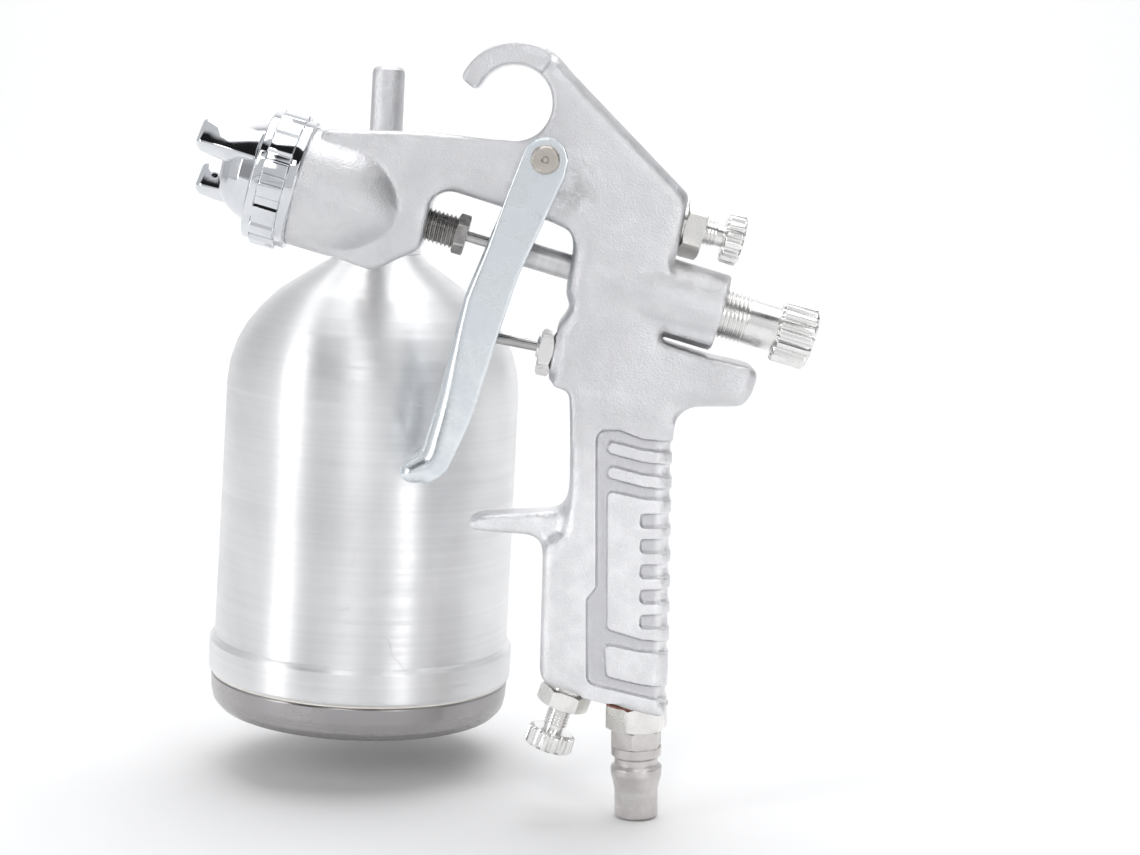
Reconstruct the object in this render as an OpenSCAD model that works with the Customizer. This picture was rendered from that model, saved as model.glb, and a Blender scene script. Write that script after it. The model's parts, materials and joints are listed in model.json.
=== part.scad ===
// Side-cup spray gun: a cast body with hook and handle, needle and valve
// parts on inclined axes, a sheet trigger and a paint cup on a side port.
// Origin: centre of the air plug's lower end. +X runs from the nozzle to the
// rear knobs, +Y to the cup's side and +Z up the handle.

/* [Barrel] */
// Downward tilt of the nozzle-to-knob axis, degrees
barrel_tilt = 16.9; // [16:0.1:18]
// Radius of the head's thread and of the cone's large end
head_r = 14.1; // [13.8:0.1:14.1]
// Radius of the rear boss that takes the fluid knob
boss_r = 9.3; // [9:0.1:9.6]

/* [Casting] */
// Width of the casting's upper part, across Y
body_w = 15; // [14:0.5:15.5]
// Width of the handle, across Y
grip_w = 20; // [19:0.5:21]
// Width of the finger rest, across Y
rest_w = 11; // [10:0.5:14]
// Width of the hook, across Y
hook_w = 11; // [9:0.5:12]
// Depth of the handle's recessed side panel
panel_d = 1.1; // [0.8:0.1:1.5]

/* [Air cap] */
// Outer radius of the ring that holds the air cap
ring_r = 16.3; // [15.8:0.1:16.4]
// Number of flutes round the ring
ring_flutes = 18; // [12:1:24]
// Turn of the horns about the barrel, degrees from upright
horn_turn = 56; // [40:1:70]
// Width of each horn
horn_w = 7.7; // [7:0.1:8]

/* [Needle] */
// Radius of the fluid needle
needle_r = 1.3; // [1.2:0.05:1.35]
// Radius of the sleeve that the trigger pulls
sleeve_r = 3.05; // [2.8:0.05:3.1]

/* [Knobs] */
// Radius of the fluid knob's head
fluid_knob_r = 7.4; // [6.5:0.1:7.6]
// Number of flutes round the fluid knob
fluid_flutes = 16; // [12:1:20]
// Radius of the two small valve knobs
small_knob_r = 6; // [5.5:0.1:6.2]
// Number of flutes round each small knob
small_flutes = 14; // [10:1:18]

/* [Trigger] */
// Outside width of the trigger channel, across Y
trigger_w = 18.8; // [18.2:0.1:19]
// Thickness of the trigger's sheet
trigger_t = 1.4; // [1.2:0.1:1.5]
// Radius of the trigger's pivot pin
pivot_r = 2.5; // [2:0.1:2.6]

/* [Cup] */
// Distance from the gun's middle plane to the cup's axis
cup_y = 50.5; // [50:0.5:54]
// Lean of the cup's axis, degrees
cup_lean = 3.44; // [3:0.01:3.8]
// Outer radius of the cup's wall at its shoulder
cup_r = 38.1; // [37.8:0.1:38.4]
// Outer radius of the cup's wall at its rim
rim_r = 38.7; // [38.5:0.1:38.9]
// Thickness of the cup's wall
cup_wall = 0.9; // [0.8:0.1:1]
// Outer radius of the rolled band at the cup's rim
band_r = 40; // [39.8:0.1:40.3]

/* [Inlet] */
// Radius of the air plug's straight end
plug_r = 5.3; // [5:0.1:5.4]
// Radius of the air passage through the inlet
air_bore_r = 3; // [2.5:0.1:3.2]

/* [Hidden] */
$fn = 64;

run_gap = 0.05;      // radial gap of a running fit
free_gap = 0.3;      // gap between bodies that don't guide each other

// Places of the axes, as [x, z] in the middle plane
barrel_at = [-85.7, 155.5];
pivot_at = [-21.9, 159.8];
valve_at = [-19.7, 114.8];
valve_tilt = 11;
pattern_at = [13, 143.5];
pattern_tilt = 15;
adjust_at = [-16.9, 31.7];
adjust_tilt = 19;

hook_at = [-29.1, 173];
hook_in_r = 8.9;
hook_out_r = 14.4;

// Stations along the barrel, counted from the head's front face
ring_front = -3.9;
ring_back = 6.5;
cone_start = 17.1;
cone_end = 30.6;
sleeve_front = 54.8;
sleeve_back = 80.5;
boss_end = 110;
knob_depth = 12;     // length of the fluid knob's stem in the boss
port_s = 22.4;
port_face = 14.3;    // distance of the port's face from the middle plane

// Springs: wire radius, turns and sides are kept low, as they are inner pieces
wire_r = 0.45;

block_mid = 131.9;   // height of the fitting block's middle in the cup's frame
neck_h = 120.7;      // height of the cup's neck
skirt_r = rim_r - cup_wall - free_gap;
grip_half = grip_w / 2;
body_half = body_w / 2;

// Frames of the inclined axes: local +Z runs along each axis
module on_barrel(s = 0) {
    translate([barrel_at[0], 0, barrel_at[1]])
        rotate([0, 90 + barrel_tilt, 0]) translate([0, 0, s]) children();
}
module on_valve(u = 0) {
    translate([valve_at[0], 0, valve_at[1]])
        rotate([0, 90 + valve_tilt, 0]) translate([0, 0, u]) children();
}
module on_pattern(t = 0) {
    translate([pattern_at[0], 0, pattern_at[1]])
        rotate([0, 90 + pattern_tilt, 0]) translate([0, 0, t]) children();
}
module on_adjust(w = 0) {
    translate([adjust_at[0], 0, adjust_at[1]])
        rotate([0, 180 + adjust_tilt, 0]) translate([0, 0, w]) children();
}
module on_cup(h = 0) {
    translate([-72.9, cup_y, 15]) rotate([0, cup_lean, 0])
        translate([0, 0, h]) children();
}
// Port axis: local +Z runs to the cup along +Y
port_x = barrel_at[0] + port_s * cos(barrel_tilt);
port_z = barrel_at[1] - port_s * sin(barrel_tilt);
module on_port(y = 0) {
    translate([port_x, y, port_z]) rotate([-90, 0, 0]) children();
}

module ring(r_out, r_in, h) {
    difference() {
        cylinder(r = r_out, h = h);
        translate([0, 0, -1]) cylinder(r = r_in, h = h + 2);
    }
}
// Hexagon with its size given across the corners
module hexagon(across, h) { cylinder(d = across, h = h, $fn = 6); }

// Knob head with round flutes cut along it
module fluted(r, h, flutes, cut_r) {
    difference() {
        cylinder(r = r, h = h);
        for (i = [0 : flutes - 1]) rotate(i * 360 / flutes)
            translate([r + cut_r * 0.62, 0, -1]) cylinder(r = cut_r, h = h + 2, $fn = 24);
    }
}
// Round spring along +Z, as a tube swept on a helix
module spring(r, len, turns) {
    steps = 14;
    sides = 6;
    n = turns * steps;
    ring_at = [for (i = [0 : n]) [for (k = [0 : sides - 1])
        let (a = 360 * i / steps, b = 360 * k / sides, q = r + wire_r * cos(b))
        [q * cos(a), q * sin(a), wire_r + (len - 2 * wire_r) * i / n + wire_r * sin(b)]]];
    pts = [for (row = ring_at) for (p = row) p];
    walls = [for (i = [0 : n - 1]) for (k = [0 : sides - 1])
        let (j = (k + 1) % sides, o = i * sides)
        [o + k, o + j, o + sides + j, o + sides + k]];
    caps = [[for (k = [0 : sides - 1]) sides - 1 - k],
            [for (k = [0 : sides - 1]) n * sides + k]];
    polyhedron(points = pts, faces = concat(walls, caps), convexity = 10);
}

// Outline through [x, z, corner radius] points, each corner turned into an arc
function unit(v) = v / norm(v);
function corner(a, p, b, steps = 6) =
    let (u = unit([a[0] - p[0], a[1] - p[1]]), v = unit([b[0] - p[0], b[1] - p[1]]),
         half = acos(max(-1, min(1, u * v))) / 2,
         c = [p[0], p[1]] + unit(u + v) * p[2] / sin(half),
         t1 = [p[0], p[1]] + u * p[2] / tan(half),
         t2 = [p[0], p[1]] + v * p[2] / tan(half),
         a1 = atan2(t1[1] - c[1], t1[0] - c[0]),
         a2 = atan2(t2[1] - c[1], t2[0] - c[0]),
         d = (a2 - a1 + 540) % 360 - 180)
    [for (i = [0 : steps]) c + p[2] * [cos(a1 + d * i / steps), sin(a1 + d * i / steps)]];
function outline(pts) =
    let (n = len(pts))
    [for (i = [0 : n - 1])
        let (p = pts[i], a = pts[(i + n - 1) % n], b = pts[(i + 1) % n])
        each (p[2] == 0 ? [[p[0], p[1]]] : corner(a, p, b))];
// Plate whose outline lies in the X-Z plane, centred on Y
module plate(width) {
    translate([0, width / 2, 0]) rotate([90, 0, 0]) linear_extrude(width) children();
}

// Front body, window edge and top, from the head to the 45 degree edge
upper_line = [
    [-76.7, 139, 3], [-63, 133.8, 1.5], [-51.2, 139, 2], [-49.3, 146.8, 2],
    [-48.6, 151.2, 3], [-44.6, 152.7, 2], [-32.7, 148.9, 0], [-22.1, 145.8, 0],
    [-15.6, 143, 2.5], [-15.5, 138.5, 2], [-17.4, 128.5, 1.2], [-16, 125.2, 0.8],
    [-18.6, 121.9, 1], [-20.7, 108, 1], [-20.5, 106.2, 1], [-16.4, 105.8, 1],
    [-16.2, 95.8, 0], [8.3, 95.8, 0], [8.3, 101.7, 5.4], [24.6, 101.6, 1.5],
    [26.9, 104.6, 1], [28.6, 109.4, 1], [26.8, 111.3, 1], [16.8, 113.5, 0],
    [5.4, 117.2, 0], [6.6, 129.5, 0], [9.2, 138.5, 2], [11.7, 151.7, 1.5],
    [-19.2, 183.7, 0], [-29.1, 173, 0], [-32.4, 164.3, 0],
    [-49.2, 166.3, 6], [-73.6, 167, 1]];
// Handle with the finger rest at its top front
grip_line = [
    [-16.2, 97.8, 0], [-16.3, 81.8, 3], [-17.6, 70.8, 0], [-22.6, 70.2, 3],
    [-22.8, 63.8, 4], [-23.6, 35.8, 1.5], [-20.8, 34, 2], [7, 26.4, 1.5],
    [7.7, 47.8, 0], [8.2, 93.8, 3], [8.4, 97.8, 0]];
// Finger rest in front of the handle
rest_line = [
    [-16.2, 85.8, 0], [-16.3, 76.6, 4], [-38, 75.3, 1.5], [-41.3, 73.7, 1.2],
    [-40.4, 71.8, 1], [-33, 71, 4], [-22.7, 70.4, 4], [-22.7, 57.8, 0], [-12, 57.8, 0],
    [-12, 85.8, 0]];

// Hook: part of a ring, open to the front
module hook_shape() {
    difference() {
        translate([hook_at[0] + 0.6, hook_at[1]]) circle(r = hook_out_r);
        translate(hook_at) circle(r = hook_in_r);
        polygon([[-60, 176.2], [-38, 176.2], hook_at, [-32, 163.8], [-60, 157.8]]);
        polygon([[-46, 183.8], [-41.8, 178.8], [-38.2, 175.8], [-60, 167.8]]);
    }
}
// Panel let into each side of the handle, between its ribs
module panel_shape() {
    polygon(outline([[-10.1, 97.9, 3.2], [-4.6, 96.7, 4], [1, 94.5, 5], [9, 93.8, 0],
        [9, 31.4, 0], [4, 31.4, 2], [0.5, 32.3, 2], [-12.3, 35.4, 2.5],
        [-12.4, 56.2, 1.5], [-10.1, 58.8, 1.5]]));
}
rib_h = 2.8;         // height of the two upper ribs
rib_drop = 3.2;      // fall of each rib from its front end to the rear edge
notch_h = 3.5;
notch_step = 6.1;
module rib_shape() {
    front = -7.3;
    rear = 9;
    for (top = [94.1, 88.2])
        polygon(outline([[front, top, 1.2], [1, top - rib_drop * 0.7, 5], [rear, top - rib_drop, 0],
            [rear, top - rib_drop - rib_h, 0], [1, top - rib_drop * 0.7 - rib_h, 5],
            [front, top - rib_h, 1.2]]));
    difference() {
        polygon(outline([[front - 0.1, 82.1, 1.2], [1, 80.2, 5], [rear, 79.6, 0],
            [rear, 45.4, 0], [0.6, 46.3, 2], [front - 0.1, 48.8, 1.2]]));
        for (i = [0 : 4]) let (top = 76.7 - i * notch_step)
            polygon(outline([[0.4, top - notch_h, 1], [0.4, top, 1], [rear + 1, top, 0],
                [rear + 1, top - notch_h, 0]]));
    }
    polygon(outline([[front - 0.8, 45.1, 1.2], [0.6, 43.2, 5], [rear, 42.4, 0],
        [rear, 34.1, 0], [0.6, 35.3, 5], [front - 0.2, 37.2, 1.2]]));
}
module head_solid() {
    on_barrel(0.2) cylinder(r = head_r, h = cone_start - 0.2);
    on_barrel(cone_start) cylinder(r1 = head_r, r2 = body_half - 0.1, h = cone_end - cone_start);
}
module gun_body() {
    boss_start = 92;
    color("#c9c8c4") difference() {
        union() {
            plate(body_w) difference() {
                polygon(outline(upper_line));
                translate(hook_at) circle(r = hook_in_r);
            }
            plate(hook_w) hook_shape();
            plate(grip_w) polygon(outline(grip_line));
            plate(rest_w) polygon(outline(rest_line));
            head_solid();
            on_barrel(boss_start) cylinder(r = boss_r, h = boss_end - boss_start);
            on_valve(-0.4) cylinder(r = 7.4, h = 12);
            on_port(2) cylinder(r = 8.6, h = port_face - 2);
            for (y = [-body_half - 0.4, body_half - 0.6])
                translate([pivot_at[0], y + 1, pivot_at[1]]) rotate([90, 0, 0])
                    cylinder(r = 4.6, h = 1);
        }
        for (side = [-1, 1])
            translate([0, side * (grip_half - panel_d / 2 + 0.5), 0])
                plate(panel_d + 1) difference() { panel_shape(); rib_shape(); }
        // Fluid way, needle bore, sleeve guide and spring chamber
        on_barrel(-1) cylinder(r = 5.02, h = 15);
        on_barrel(13) cylinder(r = 2.6, h = 20);
        on_barrel(31) cylinder(r = 3.97, h = 14);
        on_barrel(70) cylinder(r = sleeve_r + run_gap, h = 20);
        on_barrel(86) cylinder(r = 4.6, h = 14);
        on_barrel(boss_end - knob_depth) cylinder(r = 5.85 + run_gap, h = knob_depth + 1);
        on_port(2) cylinder(r = 5.02, h = 14);
        on_port(0) cylinder(r = 2.6, h = 4);
        on_port(port_face) cylinder(r = 12, h = 6);
        // Air valve chamber and the way up from the handle
        on_valve(-1) cylinder(r = 5.05, h = 38.5);
        translate([0, 0, 28]) cylinder(r = air_bore_r, h = 85);
        // Pattern valve and trigger pin bores
        on_pattern(-14) cylinder(r = 5.02, h = 20);
        on_pattern(-19) cylinder(r = 2.2, h = 8);
        on_pattern(-2.45) cylinder(r = 7.7, h = 6);
        translate([pivot_at[0], 0, pivot_at[1]]) rotate([90, 0, 0])
            cylinder(r = pivot_r, h = 30, center = true);
        // Air adjusting valve and inlet, with a counterbore for its hexagon
        on_adjust(-10) cylinder(r = 4.52, h = 14);
        on_adjust(-14) cylinder(r = 1.9, h = 6);
        translate([0, 0, 18]) cylinder(r = 8.3, h = 10.7);
        translate([0, 0, 18]) cylinder(r = 5.02, h = 20);
        on_adjust(0) cylinder(r = 7.2, h = 9);
    }
}

module fluid_nozzle() {
    color("#b9bbbd") on_barrel() difference() {
        union() {
            cylinder(r = 5, h = 12);
            translate([0, 0, -4.6]) hexagon(12.6, 4.8);
            translate([0, 0, -9]) cylinder(r1 = 2.6, r2 = 4.6, h = 4.5);
            translate([0, 0, -12.7]) cylinder(r1 = 1.5, r2 = 2.6, h = 3.8);
        }
        translate([0, 0, -5]) cylinder(r = 2.6, h = 20);
        translate([0, 0, -11.2]) cylinder(r1 = 0.9, r2 = 2.6, h = 6.3);
        translate([0, 0, -13]) cylinder(r = 0.9, h = 3);
    }
}
// One horn: a block with a sloped inner face and two crossing air holes
module horn() {
    plate(horn_w) polygon(outline([[6.2, -10, 0], [7.2, -13.6, 1], [7.6, -17.8, 0.8],
        [9.4, -18.8, 0.8], [11.4, -18.2, 1], [12.2, -12, 2], [12, -4.2, 0], [8, -4.2, 0]]));
}
module air_cap() {
    color("#c3c6ca") on_barrel() rotate(180 + horn_turn) difference() {
        union() {
            rotate_extrude() polygon([[0, -12.4], [5.6, -12.4], [6.5, -12], [8.6, -10.4],
                [10.4, -8.2], [11.4, -5.6], [12, -4], [12, -2.35], [13.9, -2.35],
                [13.9, -0.4], [0, -0.4]]);
            horn();
            mirror([1, 0, 0]) horn();
        }
        rotate_extrude() polygon([[0, 0], [10.6, 0], [10.4, -4], [9, -7.4], [6.6, -9.8],
                                  [4, -11.2], [0, -11.2]]);
        translate([0, 0, -13]) cylinder(r = 2.15, h = 4);
        for (side = [-1, 1]) {
            translate([side * 9.6, 0, -17]) cylinder(r = 1.1, h = 9);
            for (s = [-16.4, -14.4]) translate([side * 9.6, 0, s])
                rotate([0, -side * 64, 0]) cylinder(r = 0.65, h = 6);
            for (q = [2.9, 4.4]) translate([side * q, 0, -13]) cylinder(r = 0.4, h = 3);
            translate([0, side * 3.2, -13]) cylinder(r = 0.45, h = 3);
        }
    }
}
module air_cap_ring() {
    color("#c9cbce") on_barrel() difference() {
        union() {
            translate([0, 0, ring_front]) cylinder(r = ring_r - 0.9, h = 2.2);
            translate([0, 0, ring_front + 2.1]) fluted(ring_r, 5.9, ring_flutes, 2.1);
            translate([0, 0, 4]) cylinder(r = ring_r - 0.9, h = ring_back - 4);
        }
        translate([0, 0, -2.5]) cylinder(r = head_r + run_gap, h = 10);
        translate([0, 0, -5]) cylinder(r = 12.1, h = 5);
    }
}
module packing_screw() {
    color("#5d5a55") on_barrel() difference() {
        union() {
            translate([0, 0, 33.2]) cylinder(r = 3.95, h = 11.2);
            translate([0, 0, 44.3]) hexagon(9.8, 2.8);
        }
        translate([0, 0, 30]) cylinder(r = needle_r + run_gap, h = 20);
        translate([0, 0, 33]) cylinder(r1 = 2.4, r2 = needle_r, h = 1.6);
    }
}
module needle_packing() {
    color("#e8e4da") on_barrel(31.1) difference() {
        union() {
            cylinder(r = 3.9, h = 2);
            translate([0, 0, 2]) cylinder(r1 = 2.3, r2 = 1.5, h = 1.2);
        }
        translate([0, 0, -1]) cylinder(r = needle_r + run_gap, h = 5);
    }
}
module fluid_needle() {
    color("#d2d3d3") on_barrel() {
        translate([0, 0, -7]) cylinder(r = needle_r, h = 121);
        translate([0, 0, -12.4]) cylinder(r1 = 0.35, r2 = needle_r, h = 5.4);
        translate([0, 0, 88]) cylinder(r = 3.6, h = 3);
    }
}
module needle_sleeve() {
    color("#cfcfca") on_barrel(sleeve_front)
        ring(sleeve_r, needle_r, sleeve_back - sleeve_front);
}
module needle_spring() {
    color("#a8a8a8") on_barrel(91.1) spring(2.6, 32.6, 11);
}
module fluid_knob() {
    stem_start = boss_end - knob_depth + 0.3;
    color("#b8b7b2") on_barrel() difference() {
        union() {
            translate([0, 0, stem_start]) cylinder(r = 5.85, h = 116.5 - stem_start);
            translate([0, 0, 116.5]) cylinder(r = 5.5, h = 7.3);
            translate([0, 0, 123.7]) cylinder(r1 = 6.2, r2 = fluid_knob_r - 0.3, h = 0.7);
            translate([0, 0, 124.4]) fluted(fluid_knob_r, 7.6, fluid_flutes, 1.4);
            translate([0, 0, 132]) cylinder(r1 = fluid_knob_r - 0.3, r2 = 6.2, h = 0.9);
        }
        translate([0, 0, 90]) cylinder(r = 3.6, h = 34);
    }
}

module pattern_valve_housing() {
    color("#b3a48d") on_pattern() difference() {
        union() {
            translate([0, 0, -13.5]) cylinder(r = 5, h = 11.2);
            translate([0, 0, -2.4]) hexagon(14.4, 4.9);
        }
        translate([0, 0, -14]) cylinder(r = 3.1 + run_gap, h = 20);
    }
}
module pattern_valve_knob() {
    color("#c9c8c2") on_pattern() {
        translate([0, 0, -11]) cylinder(r = 2.2, h = 4);
        translate([0, 0, -17]) cylinder(r1 = 0.6, r2 = 2, h = 6);
        translate([0, 0, -4.5]) cylinder(r = 3.1, h = 9.4);
        translate([0, 0, -7]) cylinder(r = 2.2, h = 2.5);
        translate([0, 0, 4.9]) cylinder(r = 2.65, h = 2.4);
        translate([0, 0, 7.2]) fluted(small_knob_r, 4.8, small_flutes, 1.2);
    }
}
module pattern_valve_oring() {
    color("#1d1d1d") on_pattern(-6) ring(3.08, 2.25, 1.1);
}

// Side view of the trigger below its round top
trigger_line = [
    [-27.1, 161.1, 0], [-21.9, 157.8, 0], [-16.7, 159, 0], [-17.4, 155.8, 6],
    [-28.4, 132.4, 14], [-33.2, 118.4, 0], [-39.8, 98.4, 14], [-45.6, 86.2, 6],
    [-50.6, 83.3, 4], [-54.6, 83.5, 2.2], [-56.9, 85.4, 1.4], [-56, 88.4, 1.6],
    [-51.6, 91, 4], [-47.4, 104.4, 10], [-41.1, 127.8, 6], [-32.8, 146.8, 6]];
module trigger_shape() {
    translate(pivot_at) circle(r = 5.3);
    polygon(outline(trigger_line));
}
module trigger() {
    cheek = trigger_w / 2 - trigger_t;
    slot_r = 2.2;
    slot_up = 8;
    slot_down = 3;
    color("#a3a8b2") difference() {
        union() {
            for (side = [-1, 1]) translate([0, side * (cheek + trigger_t / 2), 0])
                plate(trigger_t) trigger_shape();
            plate(trigger_w - 0.2) intersection() {
                difference() {
                    trigger_shape();
                    translate([2, -0.2]) trigger_shape();
                }
                translate([-70, 78]) square([60, 66]);
            }
        }
        translate([pivot_at[0], 0, pivot_at[1]]) rotate([90, 0, 0])
            cylinder(r = pivot_r + run_gap, h = 40, center = true);
        // Slot in the channel's front for the needle
        on_barrel(48) {
            for (x = [-slot_up, slot_down]) translate([x, 0, 0]) cylinder(r = slot_r, h = 10);
            translate([-slot_up, -slot_r, 0]) cube([slot_up + slot_down, 2 * slot_r, 10]);
        }
    }
}
module trigger_pin() {
    reach = trigger_w / 2 + free_gap;
    color("#9d8f78") translate([pivot_at[0], 0, pivot_at[1]]) rotate([90, 0, 0]) {
        translate([0, 0, -reach]) cylinder(r = pivot_r, h = 2 * reach);
        translate([0, 0, reach]) cylinder(r1 = 3.4, r2 = 2.9, h = 1.3);
    }
}
module trigger_pin_screw() {
    reach = trigger_w / 2 + free_gap;
    color("#8e8676") translate([pivot_at[0], reach, pivot_at[1]]) rotate([-90, 0, 0])
        difference() {
            cylinder(r1 = 3.4, r2 = 3, h = 1.4);
            translate([-4, -0.4, 0.7]) cube([8, 0.8, 2]);
        }
}

module air_valve_gland() {
    color("#b7b5ae") on_valve() difference() {
        union() {
            translate([0, 0, -3.9]) hexagon(13.8, 3.4);
            translate([0, 0, -0.5]) cylinder(r = 5, h = 9);
        }
        translate([0, 0, -5]) cylinder(r = needle_r + run_gap, h = 20);
        translate([0, 0, 4]) cylinder(r = 3.4, h = 6);
    }
}
module air_valve_packing() {
    color("#e6e1d6") on_valve(4.05) ring(3.35, needle_r + run_gap, 2.4);
}
module air_valve_rod() {
    color("#cfcfcb") on_valve() {
        translate([0, 0, -20.8]) sphere(r = needle_r);
        translate([0, 0, -20.8]) cylinder(r = needle_r, h = 29.6);
    }
}
module air_valve_poppet() {
    color("#c8a24a") on_valve(8.8) {
        cylinder(r = 4.6, h = 2.4);
        translate([0, 0, 2.4]) cylinder(r1 = 4, r2 = 2.4, h = 3);
    }
}
module air_valve_spring() {
    color("#a8a8a8") on_valve(14.3) spring(4, 22.8, 8);
}

module air_adjust_housing() {
    color("#b9b5aa") on_adjust() difference() {
        union() {
            translate([0, 0, 0.1]) hexagon(13, 4.2);
            translate([0, 0, -8]) cylinder(r = 4.5, h = 8.2);
        }
        translate([0, 0, -9]) cylinder(r = 2.9 + run_gap, h = 20);
    }
}
module air_adjust_knob() {
    color("#c9c8c2") on_adjust() {
        translate([0, 0, -4]) cylinder(r = 2.9, h = 14.5);
        translate([0, 0, -13]) cylinder(r1 = 0.5, r2 = 1.8, h = 7);
        translate([0, 0, -6]) cylinder(r = 1.8, h = 2);
        translate([0, 0, 10.5]) fluted(small_knob_r, 4.8, small_flutes, 1.2);
    }
}
module air_adjust_oring() {
    color("#1d1d1d") on_adjust(-5.2) ring(2.92, 1.85, 1.1);
}

module inlet_joint() {
    color("#b5ab97") difference() {
        union() {
            translate([0, 0, 22.1]) rotate(12) hexagon(15.4, 6.1);
            translate([0, 0, 28.1]) cylinder(r = 5, h = 8.5);
        }
        translate([0, 0, 22]) cylinder(r = 4.02, h = 10);
        translate([0, 0, 31]) cylinder(r = air_bore_r, h = 8);
    }
}
module inlet_washer() {
    color("#a0522d") translate([0, 0, 28.22]) ring(7.6, 5.05, 0.46);
}
module air_plug() {
    color("#aaa69c") difference() {
        union() {
            rotate_extrude() polygon([[0, 0], [plug_r, 0], [plug_r, 7], [6.1, 10.5],
                [6.25, 10.9], [6.25, 12.8], [6, 13.2], [5.3, 13.4], [5.3, 14.8],
                [6.1, 15.5], [6.1, 17.6], [4, 17.6], [4, 30.4], [0, 30.4]]);
            translate([0, 0, 17.5]) rotate(18) hexagon(13, 4.55);
        }
        translate([0, 0, -1]) cylinder(r = air_bore_r, h = 40);
    }
}

module port_nipple() {
    color("#b4b2ac") on_port() difference() {
        union() {
            translate([0, 0, 4]) cylinder(r = 5, h = port_face - 3.8);
            translate([0, 0, port_face + 0.02]) hexagon(15, 3.2);
            translate([0, 0, port_face + 3]) cylinder(r = 6.5, h = 8);
        }
        translate([0, 0, 2]) cylinder(r = 2.6, h = 30);
    }
}
module cup_nut() {
    color("#bdbbb5") on_port(port_face + 3.6) difference() {
        hexagon(20.5, 11.4);
        translate([0, 0, -1]) cylinder(r = 6.5 + run_gap, h = 10.9);
        translate([0, 0, -1]) cylinder(r = 4.6, h = 20);
    }
}
module cup_elbow() {
    color("#b9b6ad") difference() {
        union() {
            on_port(port_face + 11.2) cylinder(r = 6.3, h = 2);
            on_port(port_face + 12.8) cylinder(r = 4.5, h = cup_y - port_face - 12.8);
            on_port(cup_y - 14) cylinder(r1 = 4.6, r2 = 6.6, h = 7);
            on_port(cup_y - 7.2) cylinder(r = 6.6, h = 14);
            on_cup(block_mid - 9) cylinder(r = 7, h = 18);
            on_cup(block_mid + 9) cylinder(r1 = 5.4, r2 = 4.2, h = 3);
            on_cup(block_mid + 9) cylinder(r = 4.2, h = 26);
            on_cup(block_mid + 35) cylinder(r1 = 4.2, r2 = 3, h = 1.6);
        }
        on_port(port_face + 10) cylinder(r = 2.6, h = cup_y - port_face - 10);
        on_cup(block_mid - 10) cylinder(r = 3.4, h = 10);
    }
}
module cup_collar() {
    color("#bfc0c1") on_cup(neck_h + 0.05) difference() {
        cylinder(r = 10.5, h = block_mid - 9 - neck_h - 0.05);
        translate([0, 0, -1]) cylinder(r = 3.6, h = 10);
    }
}
// Half section of the cup's dome, as [radius, height] from neck to shoulder
dome = [[10.7, neck_h], [12.7, 118.6], [15.6, 116.6], [19.2, 114.3], [25.9, 109.7], [30, 105.4],
        [33.4, 101], [36, 96], [37.5, 91], [cup_r, 85.4]];
module cup() {
    color("#c4c5c6") on_cup() rotate_extrude($fn = 128) polygon(concat(
        [[4, neck_h]], dome,
        [[rim_r, 18.6], [band_r - 0.4, 18.4], [band_r, 17.6], [band_r, 10],
         [band_r - 0.6, 9.4], [rim_r - cup_wall, 9.4], [rim_r - cup_wall, 18.6]],
        [for (i = [len(dome) - 1 : -1 : 0]) dome[i] - [cup_wall, cup_wall * 0.7]],
        [[4, neck_h - cup_wall * 0.7]]));
}
module cup_lid() {
    color("#a79c8a") on_cup() rotate_extrude($fn = 128) polygon([
        [0, 0], [25, 0], [29, -0.8], [34, -0.8], [36.6, -0.1], [38.4, 1.8], [39.1, 4.6],
        [39.3, 8.9], [skirt_r, 8.9], [skirt_r, 16.5], [skirt_r - 1, 16.5],
        [skirt_r - 1, 5], [35.6, 1.4], [33.6, 0.4], [29.3, 0.3], [25.4, 1.1], [0, 1.1]]);
}
module lid_gasket() {
    color("#e2ddd0") on_cup(8.95) ring(39.2, skirt_r + 0.15, 0.4);
}

gun_body();
fluid_nozzle();
air_cap();
air_cap_ring();
packing_screw();
needle_packing();
fluid_needle();
needle_sleeve();
needle_spring();
fluid_knob();
pattern_valve_housing();
pattern_valve_knob();
pattern_valve_oring();
trigger();
trigger_pin();
trigger_pin_screw();
air_valve_gland();
air_valve_packing();
air_valve_rod();
air_valve_poppet();
air_valve_spring();
air_adjust_housing();
air_adjust_knob();
air_adjust_oring();
inlet_joint();
inlet_washer();
air_plug();
port_nipple();
cup_nut();
cup_elbow();
cup_collar();
cup();
cup_lid();
lid_gasket();
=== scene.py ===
import json
import math
import bpy
import numpy as np
from mathutils import Matrix, Vector

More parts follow.
